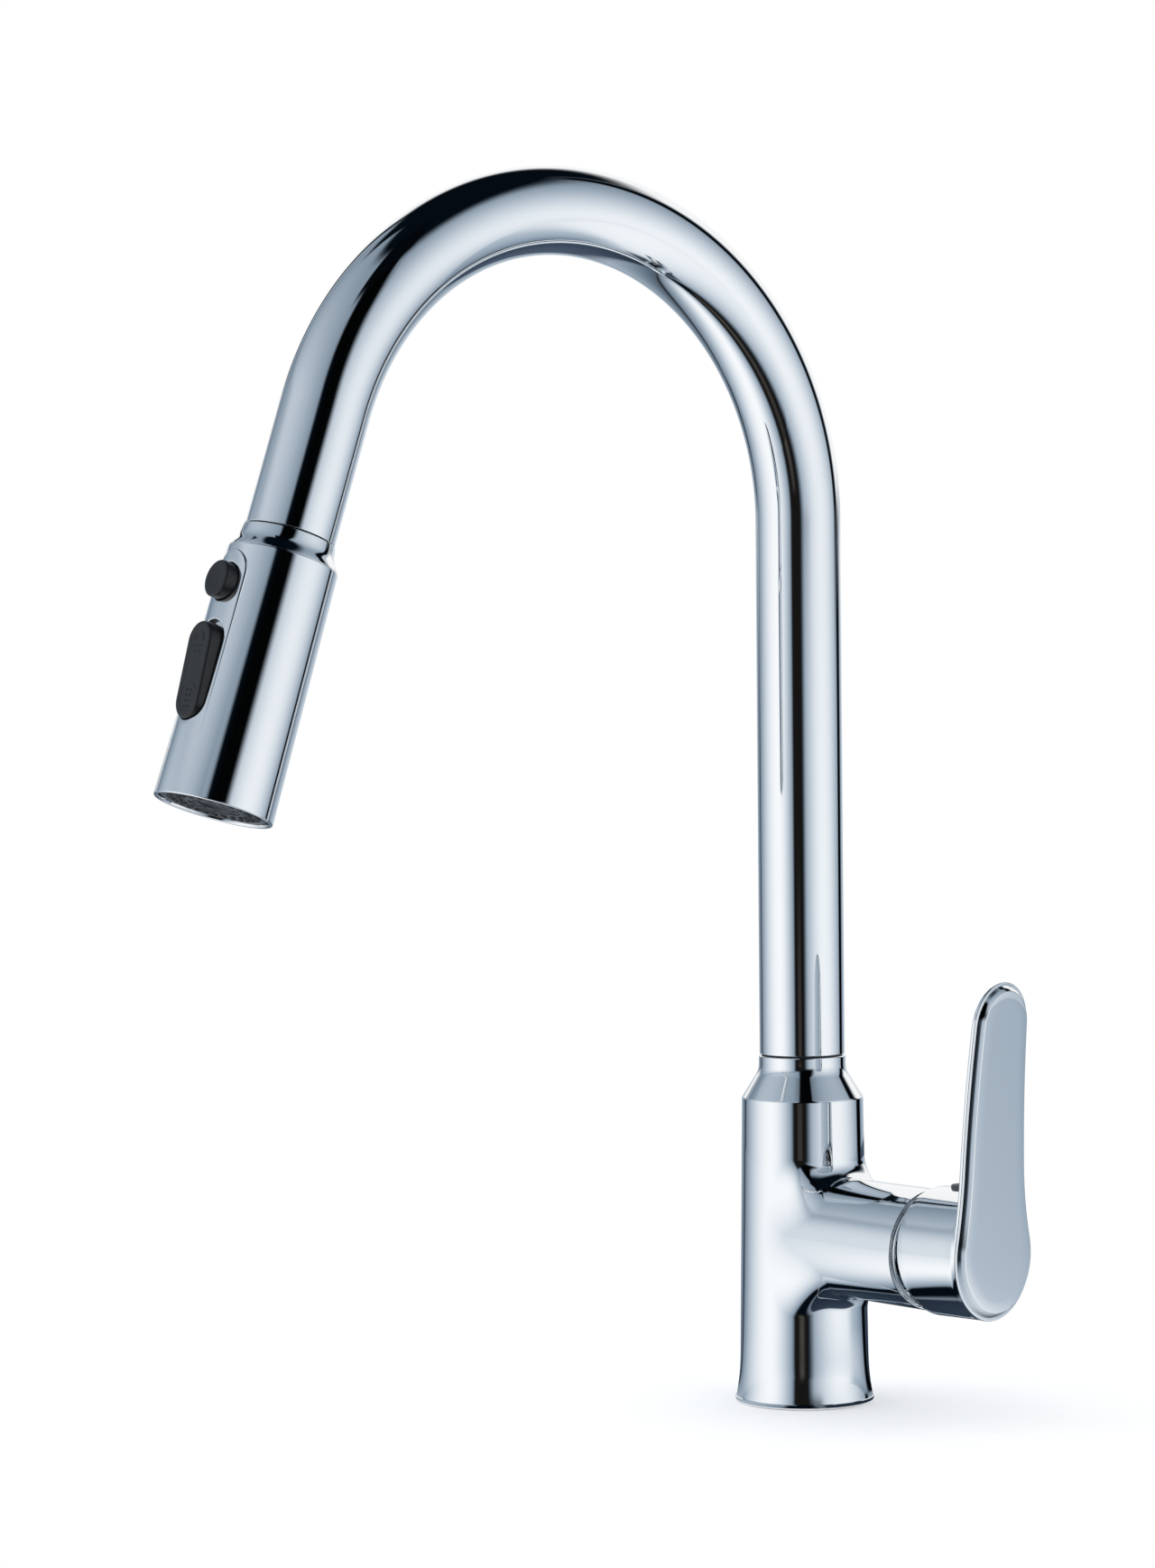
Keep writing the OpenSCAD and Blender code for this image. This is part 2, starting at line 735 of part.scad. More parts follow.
// The neck flares in a shallow hollow from the tube's diameter to the barrel's
module neck_collar() {
    wide = head_top_r - 0.25;
    slim = spout_r + 0.3;
    flare = [for (i = [0:8]) let (t = i / 8) [slim + (wide - slim) * pow(t, 1.5), 1.4 + t * (neck_l - 1.5)]];
    color("#d9dee4") at_mouth() rotate_extrude() polygon(concat(
        [[coupling_r + 0.6, neck_top], [slim - 0.2, neck_top], [slim, neck_top + 0.2]],
        flare,
        [
            [wide, neck_l - seat], [skirt2_r, neck_l - seat], [skirt2_r, skirt2_end],
            [skirt2_bore_r, skirt2_end], [skirt2_bore_r, web_end],
            [journal2_r + running, web_end], [journal2_r + running, neck_top + 0.8],
            [coupling_r + 0.6, neck_top + 0.8]
        ]
    ));
}

module shell_cavity() {
    rotate_extrude() polygon([
        [0, neck_l - 1], [skirt2_r + seat, neck_l - 1], [skirt2_r + seat, neck_l + shell_wall],
        [head_top_r - shell_wall, neck_l + shell_wall],
        [head_end_r - shell_wall, head_end + 1], [0, head_end + 1]
    ]);
}

// Arched pad round the buttons, flatter than the barrel and lost in it lower down
module button_pad() {
    arch_at = neck_l + 2.1 + pad_w / 2;
    intersection() {
        facing_buttons() translate([0, 0, 8]) linear_extrude(12) union() {
            translate([0, -arch_at]) circle(r = pad_w / 2);
            translate([-pad_w / 2, -head_end + 8]) square([pad_w, head_end - 8 - arch_at]);
        }
        translate([0, pad_front - pad_crown_r, 0]) cylinder(r = pad_crown_r, h = head_end - 8);
    }
}

module head_shell() {
    color("#dde2e8") at_mouth() difference() {
        union() {
            rotate_extrude() polygon([
                [0, neck_l], [head_top_r - 0.35, neck_l], [head_top_r, neck_l + 0.35],
                [head_end_r, head_end - 0.4], [head_end_r - 0.3, head_end], [0, head_end]
            ]);
            button_pad();
        }
        shell_cavity();
        facing_buttons() translate([0, -pause_at, 8]) cylinder(r = pause_window_r, h = 20);
        facing_buttons() translate([0, -rocker_at, 8]) linear_extrude(20)
            slot_outline(rocker_w + 2 * window_gap, rocker_l + 2 * rocker_window_gap);
    }
}

module swivel_seal() {
    color("#2c2e30") at_mouth() translate([0, 0, flange_at + flange_t / 2])
        o_ring(flange_r + 1 + seat, 1);
}

module filter_screen() {
    color("#aeb2b6") at_mouth() translate([0, 0, core_top + 0.2]) cylinder(r = 6.4, h = 0.5);
}

module check_valve() {
    color("#e8e7e2") at_mouth() translate([0, 0, core_top + 1]) ring(6.5, 2.6, 5);
}

module core_seal() {
    color("#2c2e30") at_mouth() translate([0, 0, core_top + 1.9])
        rotate_extrude() translate([skirt2_bore_r - 1 - seat, 0]) circle(r = 0.9, $fn = 32);
}

// Moulded waterway body: it carries the pause valve and the rocker's pivot
module valve_core() {
    color("#5b6066") at_mouth() difference() {
        union() {
            translate([0, 0, core_top]) cylinder(r = skirt2_bore_r - 0.1, h = 5);
            translate([0, 0, core_shoulder]) cylinder(r = core_r, h = core_end - core_shoulder);
        }
        translate([0, 0, core_top - 1]) cylinder(r = 6.6, h = 7.2);
        translate([0, 0, core_top]) cylinder(r = 4.6, h = 90);
        translate([0, 0, core_top + 0.9]) ring(skirt2_bore_r + 1, skirt2_bore_r - 2, 2);
        facing_buttons() translate([0, -pause_at, 0]) {
            translate([0, 0, pause_hole_y]) cylinder(r = pause_stem_r + gap, h = 20);
            translate([0, 0, pause_cap_y - pause_travel - gap])
                cylinder(r = pause_window_r, h = 20);
        }
        facing_buttons() translate([0, -rocker_at, pivot_y - 3]) linear_extrude(20)
            slot_outline(rocker_w + 2 * window_gap, rocker_l + 2 * rocker_window_gap);
        translate([0, pivot_y, rocker_at]) rotate([0, 90, 0])
            cylinder(r = rocker_pin_r + 0.02, h = 19.4, center = true);
    }
}

module rocker_pin() {
    color("#b9bdc1") at_mouth() translate([0, pivot_y, rocker_at]) rotate([0, 90, 0])
        cylinder(r = rocker_pin_r, h = 19, center = true);
}

// Coil spring under the pause button
module pause_spring() {
    turns = 3.5;
    steps = 14;
    sides = 6;
    coil_r = 3;
    wire_r = 0.35;
    rise = pause_stem_y - pause_hole_y - 2 * wire_r - 0.1;
    n = turns * steps;
    points = [for (i = [0:n], j = [0:sides - 1])
        let (a = 360 * i / steps, b = 360 * j / sides, r = coil_r + wire_r * cos(b))
            [r * cos(a), r * sin(a), wire_r * sin(b) + wire_r + 0.05 + rise * i / n]];
    color("#b9bdc1") at_mouth() facing_buttons() translate([0, -pause_at, pause_hole_y])
        polyhedron(points = points, faces = concat(
            [[for (j = [0:sides - 1]) j]],
            [[for (j = [sides - 1:-1:0]) n * sides + j]],
            [for (i = [0:n - 1], j = [0:sides - 1]) let (k = (j + 1) % sides)
                each [[i * sides + j, (i + 1) * sides + j, i * sides + k],
                    [i * sides + k, (i + 1) * sides + j, (i + 1) * sides + k]]]
        ));
}

module flow_divider() {
    color("#44484d") at_mouth() difference() {
        translate([0, 0, core_end + seat]) cylinder(r = core_r, h = plate_top - mat_t - core_end - 2 * seat);
        translate([0, 0, core_end - 1]) cylinder(r = 4.6, h = 30);
        translate([0, 0, aerator_top - 0.2]) cylinder(r = aerator_r + seat, h = 30);
    }
}

// Rings of nozzles: [radius, count, turn]
nozzle_rings = [
    [plate_r - 2, nozzles_outer, 0],
    [plate_r - 5, round(nozzles_outer * 0.7), 5]
];
module on_nozzles() {
    for (ring = nozzle_rings, i = [0:ring[1] - 1])
        rotate([0, 0, ring[2] + 360 * i / ring[1]]) translate([ring[0], 0, 0]) children();
}

module nozzle_mat() {
    color("#3f4448") at_mouth() difference() {
        union() {
            translate([0, 0, plate_top - mat_t]) cylinder(r = plate_r - 0.3, h = mat_t - seat);
            on_nozzles() translate([0, 0, plate_top - seat - eps])
                cylinder(r1 = 0.75, r2 = 0.55, h = plate_end - plate_top + 0.6, $fn = 16);
        }
        translate([0, 0, plate_top - 10]) cylinder(r = aerator_r + seat, h = 20);
    }
}

module spray_plate() {
    color("#565b61") at_mouth() difference() {
        translate([0, 0, plate_top]) cylinder(r = plate_r, h = plate_end - plate_top);
        translate([0, 0, plate_top - 1]) cylinder(r = aerator_r + seat, h = 9);
        on_nozzles() translate([0, 0, plate_top - 1]) cylinder(r = 0.95, h = 9, $fn = 16);
    }
}

module aerator_housing() {
    color("#4a4f54") at_mouth() difference() {
        translate([0, 0, aerator_top]) cylinder(r = aerator_r, h = plate_end - aerator_top - 0.3);
        translate([0, 0, aerator_top - 1]) cylinder(r = 4.6, h = 4);
        translate([0, 0, aerator_top + 5]) cylinder(r = 4.2, h = 9);
        translate([0, 0, aerator_top + 2]) cylinder(r = 3.2, h = 9);
        for (i = [0:7]) rotate([0, 0, 45 * i]) translate([5, -0.9, plate_end - 1.8])
            cube([1.9, 1.8, 3]);
    }
}

module aerator_mesh() {
    color("#9a9ea2") at_mouth() translate([0, 0, aerator_top + 5 + seat]) cylinder(r = 4.1, h = 1.2);
}

module pause_button() {
    color("#232529") at_mouth() facing_buttons() translate([0, -pause_at, 0]) {
        translate([0, 0, pause_stem_y]) cylinder(r = pause_stem_r, h = pause_cap_y - pause_stem_y + eps);
        translate([0, 0, pause_cap_y]) cylinder(r = pause_d / 2, h = pause_front - 0.6 - pause_cap_y);
        translate([0, 0, pause_front - 0.6 - eps])
            cylinder(r1 = pause_d / 2, r2 = pause_d / 2 - 0.5, h = 0.6 + eps);
    }
}

module rocker() {
    cap_h = rocker_front - pivot_y;
    color("#232529") at_mouth() translate([0, pivot_y, rocker_at]) rotate([rocker_lean, 0, 0])
        difference() {
            union() {
                facing_buttons() translate([0, 0, 4.6]) linear_extrude(cap_h - 4.6 - 0.5)
                    slot_outline(rocker_w, rocker_l);
                facing_buttons() translate([0, 0, cap_h - 0.5 - eps]) linear_extrude(0.5 + eps)
                    slot_outline(rocker_w - 0.8, rocker_l - 0.8);
                facing_buttons() linear_extrude(4.7) square([rocker_w - 3, 7], center = true);
                rotate([0, 90, 0]) cylinder(r = 2.7, h = rocker_w - 3, center = true);
            }
            rotate([0, 90, 0]) cylinder(r = rocker_pin_r + running, h = 30, center = true);
        }
}

valve_body();
base_seal();
spout_screw();
port_seals();
cartridge_base();
fixed_disc();
cartridge_housing();
cartridge_nut();
bonnet();
stem_carrier();
pivot_pin();
disc_carrier();
moving_disc();
lever_handle();
lever_stem();
handle_screw();
screw_plug();
gooseneck_tube();
spout_spindle();
glide_ring_upper();
glide_ring_lower();
swivel_washer();
dock_bush();
dock_magnet();
pull_hose();
hose_ferrule();
hose_coupling();
dock_ring();
neck_collar();
head_shell();
swivel_seal();
filter_screen();
check_valve();
core_seal();
valve_core();
rocker_pin();
pause_spring();
flow_divider();
nozzle_mat();
spray_plate();
aerator_housing();
aerator_mesh();
pause_button();
rocker();
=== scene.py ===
"""Visual model of a pull-down kitchen faucet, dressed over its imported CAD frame.

Sizes are millimetres, which become metres when a mesh is made; the studio's are metres.
"""
import json
import logging
import math
from dataclasses import dataclass
from enum import Enum
from typing import Any, Callable, ClassVar, Optional, Sequence

import bmesh
import bpy
import numpy as np
from bpy.types import ID, Material, Mesh, Node, NodeTree, Object
from mathutils import Matrix, Vector


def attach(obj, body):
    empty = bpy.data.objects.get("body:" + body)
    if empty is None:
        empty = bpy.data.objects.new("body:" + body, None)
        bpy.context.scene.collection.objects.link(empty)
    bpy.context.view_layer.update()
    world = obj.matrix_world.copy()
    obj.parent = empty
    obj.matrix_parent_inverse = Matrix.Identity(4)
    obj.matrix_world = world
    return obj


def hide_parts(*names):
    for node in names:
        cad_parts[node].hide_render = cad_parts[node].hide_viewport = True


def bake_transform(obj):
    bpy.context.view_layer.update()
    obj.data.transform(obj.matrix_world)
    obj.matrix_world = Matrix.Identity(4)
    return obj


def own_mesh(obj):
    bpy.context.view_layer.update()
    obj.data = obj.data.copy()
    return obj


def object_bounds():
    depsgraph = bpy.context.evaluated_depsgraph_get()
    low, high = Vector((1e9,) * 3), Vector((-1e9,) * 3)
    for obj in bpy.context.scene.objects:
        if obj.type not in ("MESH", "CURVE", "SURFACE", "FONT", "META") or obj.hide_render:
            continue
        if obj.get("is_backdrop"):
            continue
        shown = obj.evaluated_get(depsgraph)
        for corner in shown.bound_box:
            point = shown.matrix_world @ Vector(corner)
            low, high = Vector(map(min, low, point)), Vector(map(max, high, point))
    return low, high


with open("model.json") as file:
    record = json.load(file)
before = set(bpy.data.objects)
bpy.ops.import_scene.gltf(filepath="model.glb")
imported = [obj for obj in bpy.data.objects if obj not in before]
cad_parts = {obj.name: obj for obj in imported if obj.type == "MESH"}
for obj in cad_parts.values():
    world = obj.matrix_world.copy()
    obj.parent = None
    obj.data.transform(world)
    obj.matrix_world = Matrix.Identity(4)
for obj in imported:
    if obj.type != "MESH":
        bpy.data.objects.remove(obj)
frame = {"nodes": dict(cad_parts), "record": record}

logging.basicConfig(level=logging.INFO, format="%(name)s: %(message)s")
log = logging.getLogger("faucet")

CAD_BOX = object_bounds()
MM = 0.001
# in metres: doubles and empty faces to merge away, and the longest edge of an open pole
DOUBLE = 2e-6
EMPTY = 1e-6
POLE_EDGE = 1.5e-5
# longest share of a straight run that a rounded corner takes
CORNER_SHARE = 0.49
# angle in degrees past which an edge stays crisp
CRISP = 30.0
Pair = tuple[float, float]
Point = tuple[float, float, float]
Colour = Point
Glow = tuple[float, float, float, float]
Outline = list[Pair]


class Body(Enum):
    """Bodies of the frame that the pieces ride on."""

    BASE = "base"
    LEVER = "lever"
    SPOUT = "spout"
    HOSE_END = "hose_end"
    SPRAY_HEAD = "spray_head"
    PAUSE_BUTTON = "pause_button"
    ROCKER = "rocker"


class Slot(Enum):
    """Finishes, by the names of the record's material slots."""

    CHROME = "polished_chrome"
    STEEL = "bright_steel"
    BRASS = "turned_brass"
    RUBBER = "black_rubber"
    WHITE = "white_plastic"
    CERAMIC = "white_ceramic"
    BLUE = "blue_plastic"
    ORANGE = "orange_plastic"
    GREY = "grey_plastic"
    DARK = "dark_plastic"
    MAGNET = "dark_magnet"
    BUTTON = "button_plastic"
    NOZZLE = "nozzle_rubber"
    SPRAY = "spray_plastic"
    BRAID = "braided_hose"


# ---------------- places and outlines


@dataclass(frozen=True)
class Place:
    """A local frame: its origin and its three axes, in millimetres."""

    origin: Point
    axes: tuple[Point, ...]

    def __call__(self, points: Sequence | np.ndarray) -> np.ndarray:
        """Take local points into the frame of the whole object."""
        return np.asarray(points, float) @ np.array(self.axes) + np.array(self.origin)

    def moved(self, *spot: float) -> "Place":
        """The same frame with its origin at a local spot."""
        return Place(tuple(self(spot)), self.axes)


BOSS_HEIGHT = 55.7
ARCH_ANGLE = math.radians(160.9)
HUB_TILT = math.radians(1.5)
BLADE_LEAN = math.radians(-0.4)
BLADE_TWIST = math.radians(12.0)
HUB_LENGTH = 35.6

UPRIGHT = Place((0, 0, 0), ((1, 0, 0), (0, 1, 0), (0, 0, 1)))
ALONG_BOSS = Place((0, 0, BOSS_HEIGHT), ((0, 1, 0), (0, 0, 1), (1, 0, 0)))
ALONG_HUB = Place(
    (56.0, 0, BOSS_HEIGHT),
    ((0, 1, 0), (-math.sin(HUB_TILT), 0, math.cos(HUB_TILT)),
     (math.cos(HUB_TILT), 0, math.sin(HUB_TILT))),
)
AT_MOUTH = Place(
    (0, -200.942, 282.556),
    ((1, 0, 0), (0, math.cos(ARCH_ANGLE), math.sin(ARCH_ANGLE)),
     (0, -math.sin(ARCH_ANGLE), math.cos(ARCH_ANGLE))),
)


def blade_place() -> Place:
    """Frame of the blade, leaned and twisted at the end of the hub.

    Returns:
        The frame: X across the blade, Y up it and Z outwards.
    """
    turn = Matrix.Rotation(BLADE_LEAN, 3, "Y") @ Matrix.Rotation(BLADE_TWIST, 3, "Z")
    axes = tuple(tuple(turn @ Vector(v)) for v in ((0, 1, 0), (0, 0, 1), (1, 0, 0)))
    return Place(tuple(ALONG_HUB((0, 0, HUB_LENGTH))), axes)


def rounded(corners: Sequence[tuple[float, ...]], steps: int = 5) -> Outline:
    """Round the corners of an open outline.

    Args:
        corners: Points (radius, height), with a corner's radius where it is round.
        steps: Straight runs in each rounded corner.

    Returns:
        The outline's points.
    """
    out: Outline = []
    for i, (u, v, *soft) in enumerate(corners):
        if not soft:
            out.append((u, v))
            continue
        at, radius = np.array((u, v), float), soft[0]
        back = np.array(corners[i - 1][:2], float) - at
        ahead = np.array(corners[i + 1][:2], float) - at
        back_l, ahead_l = np.linalg.norm(back), np.linalg.norm(ahead)
        back, ahead = back / back_l, ahead / ahead_l
        half = math.acos(max(-1.0, min(1.0, float(back @ ahead)))) / 2
        reach = min(radius / math.tan(half), CORNER_SHARE * back_l, CORNER_SHARE * ahead_l)
        radius = reach * math.tan(half)
        centre = at + (back + ahead) / np.linalg.norm(back + ahead) * radius / math.sin(half)
        first, last = at + back * reach - centre, at + ahead * reach - centre
        span = math.pi - 2 * half
        for k in range(steps + 1):
            t = k / steps
            ray = (math.sin(span * (1 - t)) * first + math.sin(span * t) * last) / math.sin(span)
            out.append(tuple(centre + ray))
    return out


def polar(radius: Any, angle: Any, height: Any) -> np.ndarray:
    """Points at radii, angles and heights, as one array."""
    spots = np.broadcast_arrays(radius * np.cos(angle), radius * np.sin(angle), height)
    return np.stack(spots, axis=-1)


def revolve(outline: Outline, place: Place = UPRIGHT, segments: int = 160) -> np.ndarray:
    """Turn an outline of (radius, height) about the local Z axis into rows of points."""
    angles, line = np.arange(segments) * 2 * math.pi / segments, np.array(outline, float)
    return place(polar(line[:, :1], angles, line[:, 1:]))


class Skin:
    """Gathers rows of points, in millimetres, into one smooth mesh object."""

    def __init__(self) -> None:
        """Start with no points and no faces."""
        self.points: list[np.ndarray] = []
        self.faces: list[tuple[int, ...]] = []
        self.count = 0

    def sheet(self, rows: np.ndarray, closed: bool = False,
              keep: Optional[Callable[[int, int], bool]] = None) -> "Skin":
        """Add a grid of quads.

        Args:
            rows: Array of rows by columns by three coordinates.
            closed: Whether the last column joins the first.
            keep: Test of (row, column) that leaves a face out when false.

        Returns:
            This skin, so that calls can follow each other.
        """
        count, width, _ = rows.shape
        base = self.count
        for i in range(count - 1):
            for j in range(width if closed else width - 1):
                if keep is None or keep(i, j):
                    k = (j + 1) % width
                    low, high = base + i * width, base + (i + 1) * width
                    self.faces.append((low + j, low + k, high + k, high + j))
        self.points.append(rows.reshape(-1, 3))
        self.count += count * width
        return self

    def lathe(self, outline: Sequence[Pair], place: Place = UPRIGHT,
              segments: int = 160) -> "Skin":
        """Add a turned surface from an outline of (radius, height)."""
        return self.sheet(revolve(outline, place, segments), closed=True)

    def cap(self, ring: np.ndarray) -> "Skin":
        """Close a ring of points with a fan about its middle."""
        middle = np.repeat(ring.mean(axis=0)[None], len(ring), axis=0)
        return self.sheet(np.stack([ring, middle]), closed=True)

    def mesh(self, name: str, sharp: float = CRISP) -> Mesh:
        """Make the mesh, in metres, with doubles merged and sharp edges marked.

        Args:
            name: Name of the mesh.
            sharp: Angle in degrees past which an edge stays crisp.

        Returns:
            The finished mesh.
        """
        mesh = bpy.data.meshes.new(name)
        mesh.from_pydata((np.concatenate(self.points) * MM).tolist(), [], self.faces)
        return tidy(mesh, sharp)


def tidy(mesh: Mesh, sharp: float = CRISP, outward: bool = True) -> Mesh:
    """Merge doubles, drop empty faces and smooth a mesh.

    Args:
        mesh: Mesh to tidy.
        sharp: Angle in degrees past which an edge stays crisp.
        outward: Whether its faces are turned outwards.

    Returns:
        The same mesh.
    """
    work = bmesh.new()
    work.from_mesh(mesh)
    bmesh.ops.remove_doubles(work, verts=work.verts, dist=DOUBLE)
    bmesh.ops.dissolve_degenerate(work, edges=work.edges, dist=EMPTY)
    if outward:
        bmesh.ops.recalc_face_normals(work, faces=work.faces)
    work.to_mesh(mesh)
    work.free()
    mesh.shade_smooth()
    mesh.set_sharp_from_angle(angle=math.radians(sharp))
    return mesh


def close_up(mesh: Mesh, rims: bool) -> None:
    """Close a mesh's poles.

    Args:
        mesh: Mesh of a piece.
        rims: Whether open rims, which lie inside another piece, get a face too.
    """
    work = bmesh.new()
    work.from_mesh(mesh)
    poles = [edge for edge in work.edges if edge.is_boundary and edge.calc_length() < POLE_EDGE]
    bmesh.ops.collapse(work, edges=poles, uvs=False)
    if rims:
        open_edges = [edge for edge in work.edges if edge.is_boundary]
        for face in bmesh.ops.holes_fill(work, edges=open_edges, sides=0)["faces"]:
            face.smooth = False
            for edge in face.edges:
                edge.smooth = False
    work.to_mesh(mesh)
    work.free()


def join_meshes(name: str, meshes: Sequence[Mesh]) -> Mesh:
    """Join meshes into one without moving anything.

    Args:
        name: Name of the new mesh.
        meshes: The meshes to join.

    Returns:
        The new mesh.
    """
    work = bmesh.new()
    for mesh in meshes:
        work.from_mesh(mesh)
    joined = bpy.data.meshes.new(name)
    work.to_mesh(joined)
    work.free()
    joined.shade_smooth()
    joined.set_sharp_from_angle(angle=math.radians(CRISP))
    return joined


def add_object(name: str, data: ID) -> Object:
    """Put an object in the scene.

    Args:
        name: Name of the object.
        data: Its mesh, lamp or camera.

    Returns:
        The object.
    """
    piece = bpy.data.objects.new(name, data)
    bpy.context.scene.collection.objects.link(piece)
    return piece


# ---------------- node trees


SOCKETS = {float: "NodeSocketFloat", int: "NodeSocketInt", tuple: "NodeSocketColor"}
GEOMETRY = {"Geometry": "NodeSocketGeometry"}
BLACK = (0, 0, 0, 1)


class Tree:
    """A short way to write a node tree: each call adds a node and fills its sockets."""

    def __init__(self, tree: NodeTree) -> None:
        """Wrap an existing tree."""
        self.tree = tree

    @staticmethod
    def group(kind: str, name: str, inputs: dict, outputs: dict) -> tuple["Tree", Node, Node]:
        """Begin a node group with its sockets and its two end nodes.

        Args:
            kind: Type of the tree.
            name: Name of the group.
            inputs: Default of each input by name, or its socket type where it has none.
            outputs: The same for each output.

        Returns:
            The wrapped tree, its input node and its output node.
        """
        tree = Tree(bpy.data.node_groups.new(name, kind))
        for way, sockets in (("INPUT", inputs), ("OUTPUT", outputs)):
            for title, value in sockets.items():
                plain = isinstance(value, str)
                socket = tree.tree.interface.new_socket(
                    name=title, in_out=way, socket_type=value if plain else SOCKETS[type(value)])
                if not plain:
                    socket.default_value = value
        return tree, tree.add("NodeGroupInput"), tree.add("NodeGroupOutput")

    def fill(self, node: Node, sockets: dict) -> Node:
        """Fill a node's inputs.

        Args:
            node: The node.
            sockets: Inputs by name or number, each a value, a node whose first output
                is linked, or an output to link.

        Returns:
            The node.
        """
        for key, value in sockets.items():
            source = value.outputs[0] if isinstance(value, Node) else value
            if isinstance(source, bpy.types.NodeSocket):
                self.tree.links.new(source, node.inputs[key])
            else:
                node.inputs[key].default_value = source
        return node

    def add(self, kind: str, sockets: Optional[dict] = None, **settings: Any) -> Node:
        """Add a node.

        Args:
            kind: Type of the node.
            sockets: Its inputs, as for fill.
            settings: Properties of the node itself.

        Returns:
            The new node.
        """
        node = self.tree.nodes.new(kind)
        for key, value in settings.items():
            setattr(node, key, value)
        return self.fill(node, sockets or {})

    def math(self, operation: str, *values: Any) -> Node:
        """Add a Math node."""
        return self.add("ShaderNodeMath", dict(enumerate(values)), operation=operation)


def empty_material(name: str) -> tuple[Material, Tree]:
    """Start a material with no nodes.

    Args:
        name: Name of the material.

    Returns:
        The material and its wrapped tree.
    """
    material = bpy.data.materials.new(name)
    material.use_nodes = True
    material.node_tree.nodes.clear()
    return material, Tree(material.node_tree)


class SurfaceGroups:
    """Shader groups that several finishes share."""

    def __init__(self) -> None:
        """Build each group once."""
        self.polish = self._polish()
        self.moulded = self._moulded()
        self.braid = self._braid()

    @staticmethod
    def _polish() -> NodeTree:
        """Buffed metal, with haze in patches and hairline scratches.

        Returns:
            The group.
        """
        tree, given, out = Tree.group(
            "ShaderNodeTree", "buffed_metal",
            {"Roughness": 0.05, "Haze": 0.02, "Haze Size": 40.0, "Hairline Size": 900.0,
             "Colour": (0.8, 0.8, 0.8, 1), "Tarnish": (0.7, 0.7, 0.7, 1),
             "Tarnish Amount": 0.1},
            {"Colour": BLACK, "Roughness": 0.0, "Height": 0.0})
        get = given.outputs
        where = tree.add("ShaderNodeTexCoord").outputs["Object"]
        haze = tree.add("ShaderNodeTexNoise", {
            "Vector": where, "Scale": get["Haze Size"], "Detail": 3.0,
            "Roughness": 0.55})
        stretched = tree.add("ShaderNodeMapping", {"Vector": where, "Scale": (1.0, 1.0, 0.06)})
        hairline = tree.add("ShaderNodeTexNoise", {"Vector": stretched,
                                                   "Scale": get["Hairline Size"],
                                                   "Detail": 2.0})
        soft = tree.add("ShaderNodeMapRange", {"Value": haze.outputs["Fac"], "From Min": 0.35,
                                               "From Max": 0.7})
        rough = tree.math("MULTIPLY_ADD", soft, get["Haze"],
                          get["Roughness"])
        tint = tree.math("MULTIPLY", soft, get["Tarnish Amount"])
        colour = tree.add("ShaderNodeMix", {"Factor": tint, "A": get["Colour"],
                                            "B": get["Tarnish"]}, data_type="RGBA")
        tree.fill(out, {"Colour": colour.outputs["Result"], "Roughness": rough,
                        "Height": hairline.outputs["Fac"]})
        return tree.tree

    @staticmethod
    def _moulded() -> NodeTree:
        """Moulded plastic or rubber: fine eroded grain with cloudy shade and sheen.

        Returns:
            The group.
        """
        tree, given, out = Tree.group(
            "ShaderNodeTree", "moulded_grain",
            {"Colour": (0.1, 0.1, 0.1, 1), "Shade": 0.1, "Roughness": 0.5, "Spread": 0.1,
             "Grain Size": 2500.0},
            {"Colour": BLACK, "Roughness": 0.0, "Height": 0.0})
        get = given.outputs
        where = tree.add("ShaderNodeTexCoord").outputs["Object"]
        grain = tree.add("ShaderNodeTexVoronoi", {"Vector": where,
                                                  "Scale": get["Grain Size"]},
                         feature="SMOOTH_F1")
        cloud = tree.add("ShaderNodeTexNoise", {"Vector": where, "Scale": 160.0, "Detail": 4.0})
        lift = tree.math("MULTIPLY_ADD", cloud.outputs["Fac"], get["Shade"], 1.0)
        level = tree.math("SUBTRACT", lift, tree.math("MULTIPLY", get["Shade"], 0.5))
        shade = tree.add("ShaderNodeVectorMath", {0: get["Colour"], 1: level},
                         operation="MULTIPLY")
        rough = tree.math("MULTIPLY_ADD", cloud.outputs["Fac"], get["Spread"],
                          get["Roughness"])
        tree.fill(out, {"Colour": shade, "Roughness": rough,
                        "Height": grain.outputs["Distance"]})
        return tree.tree

    @staticmethod
    def _braid() -> NodeTree:
        """Braided sleeve over UVs: two sets of crossing bundles, in metres along V.

        Returns:
            The group.
        """
        tree, given, out = Tree.group(
            "ShaderNodeTree", "braided_sleeve",
            {"Turns": 24.0, "Pitch": 620.0, "Dark": (0.02, 0.02, 0.02, 1),
             "Light": (0.3, 0.3, 0.32, 1)},
            {"Colour": BLACK, "Height": 0.0})
        get = given.outputs
        sleeve = tree.add("ShaderNodeUVMap", uv_map="sleeve")
        spot = tree.add("ShaderNodeSeparateXYZ", {0: sleeve})
        around = tree.math("MULTIPLY", spot, get["Turns"])
        along = tree.math("MULTIPLY", spot.outputs[1], get["Pitch"])
        waves = []
        for operation in ("ADD", "SUBTRACT"):
            line = tree.math(operation, around, along)
            waves.append(tree.math("PINGPONG", line, 0.5))
        over = tree.math("GREATER_THAN", tree.math(
            "PINGPONG", tree.math("ADD", around, along), 1.0), 0.5)
        height = tree.add("ShaderNodeMix", {"Factor": over, "A": waves[0], "B": waves[1]},
                          data_type="FLOAT")
        fine = tree.math("MULTIPLY", height.outputs["Result"], 2.0)
        colour = tree.add("ShaderNodeMix", {"Factor": fine, "A": get["Dark"],
                                            "B": get["Light"]}, data_type="RGBA")
        tree.fill(out, {"Colour": colour.outputs["Result"], "Height": fine})
        return tree.tree


# ---------------- finishes


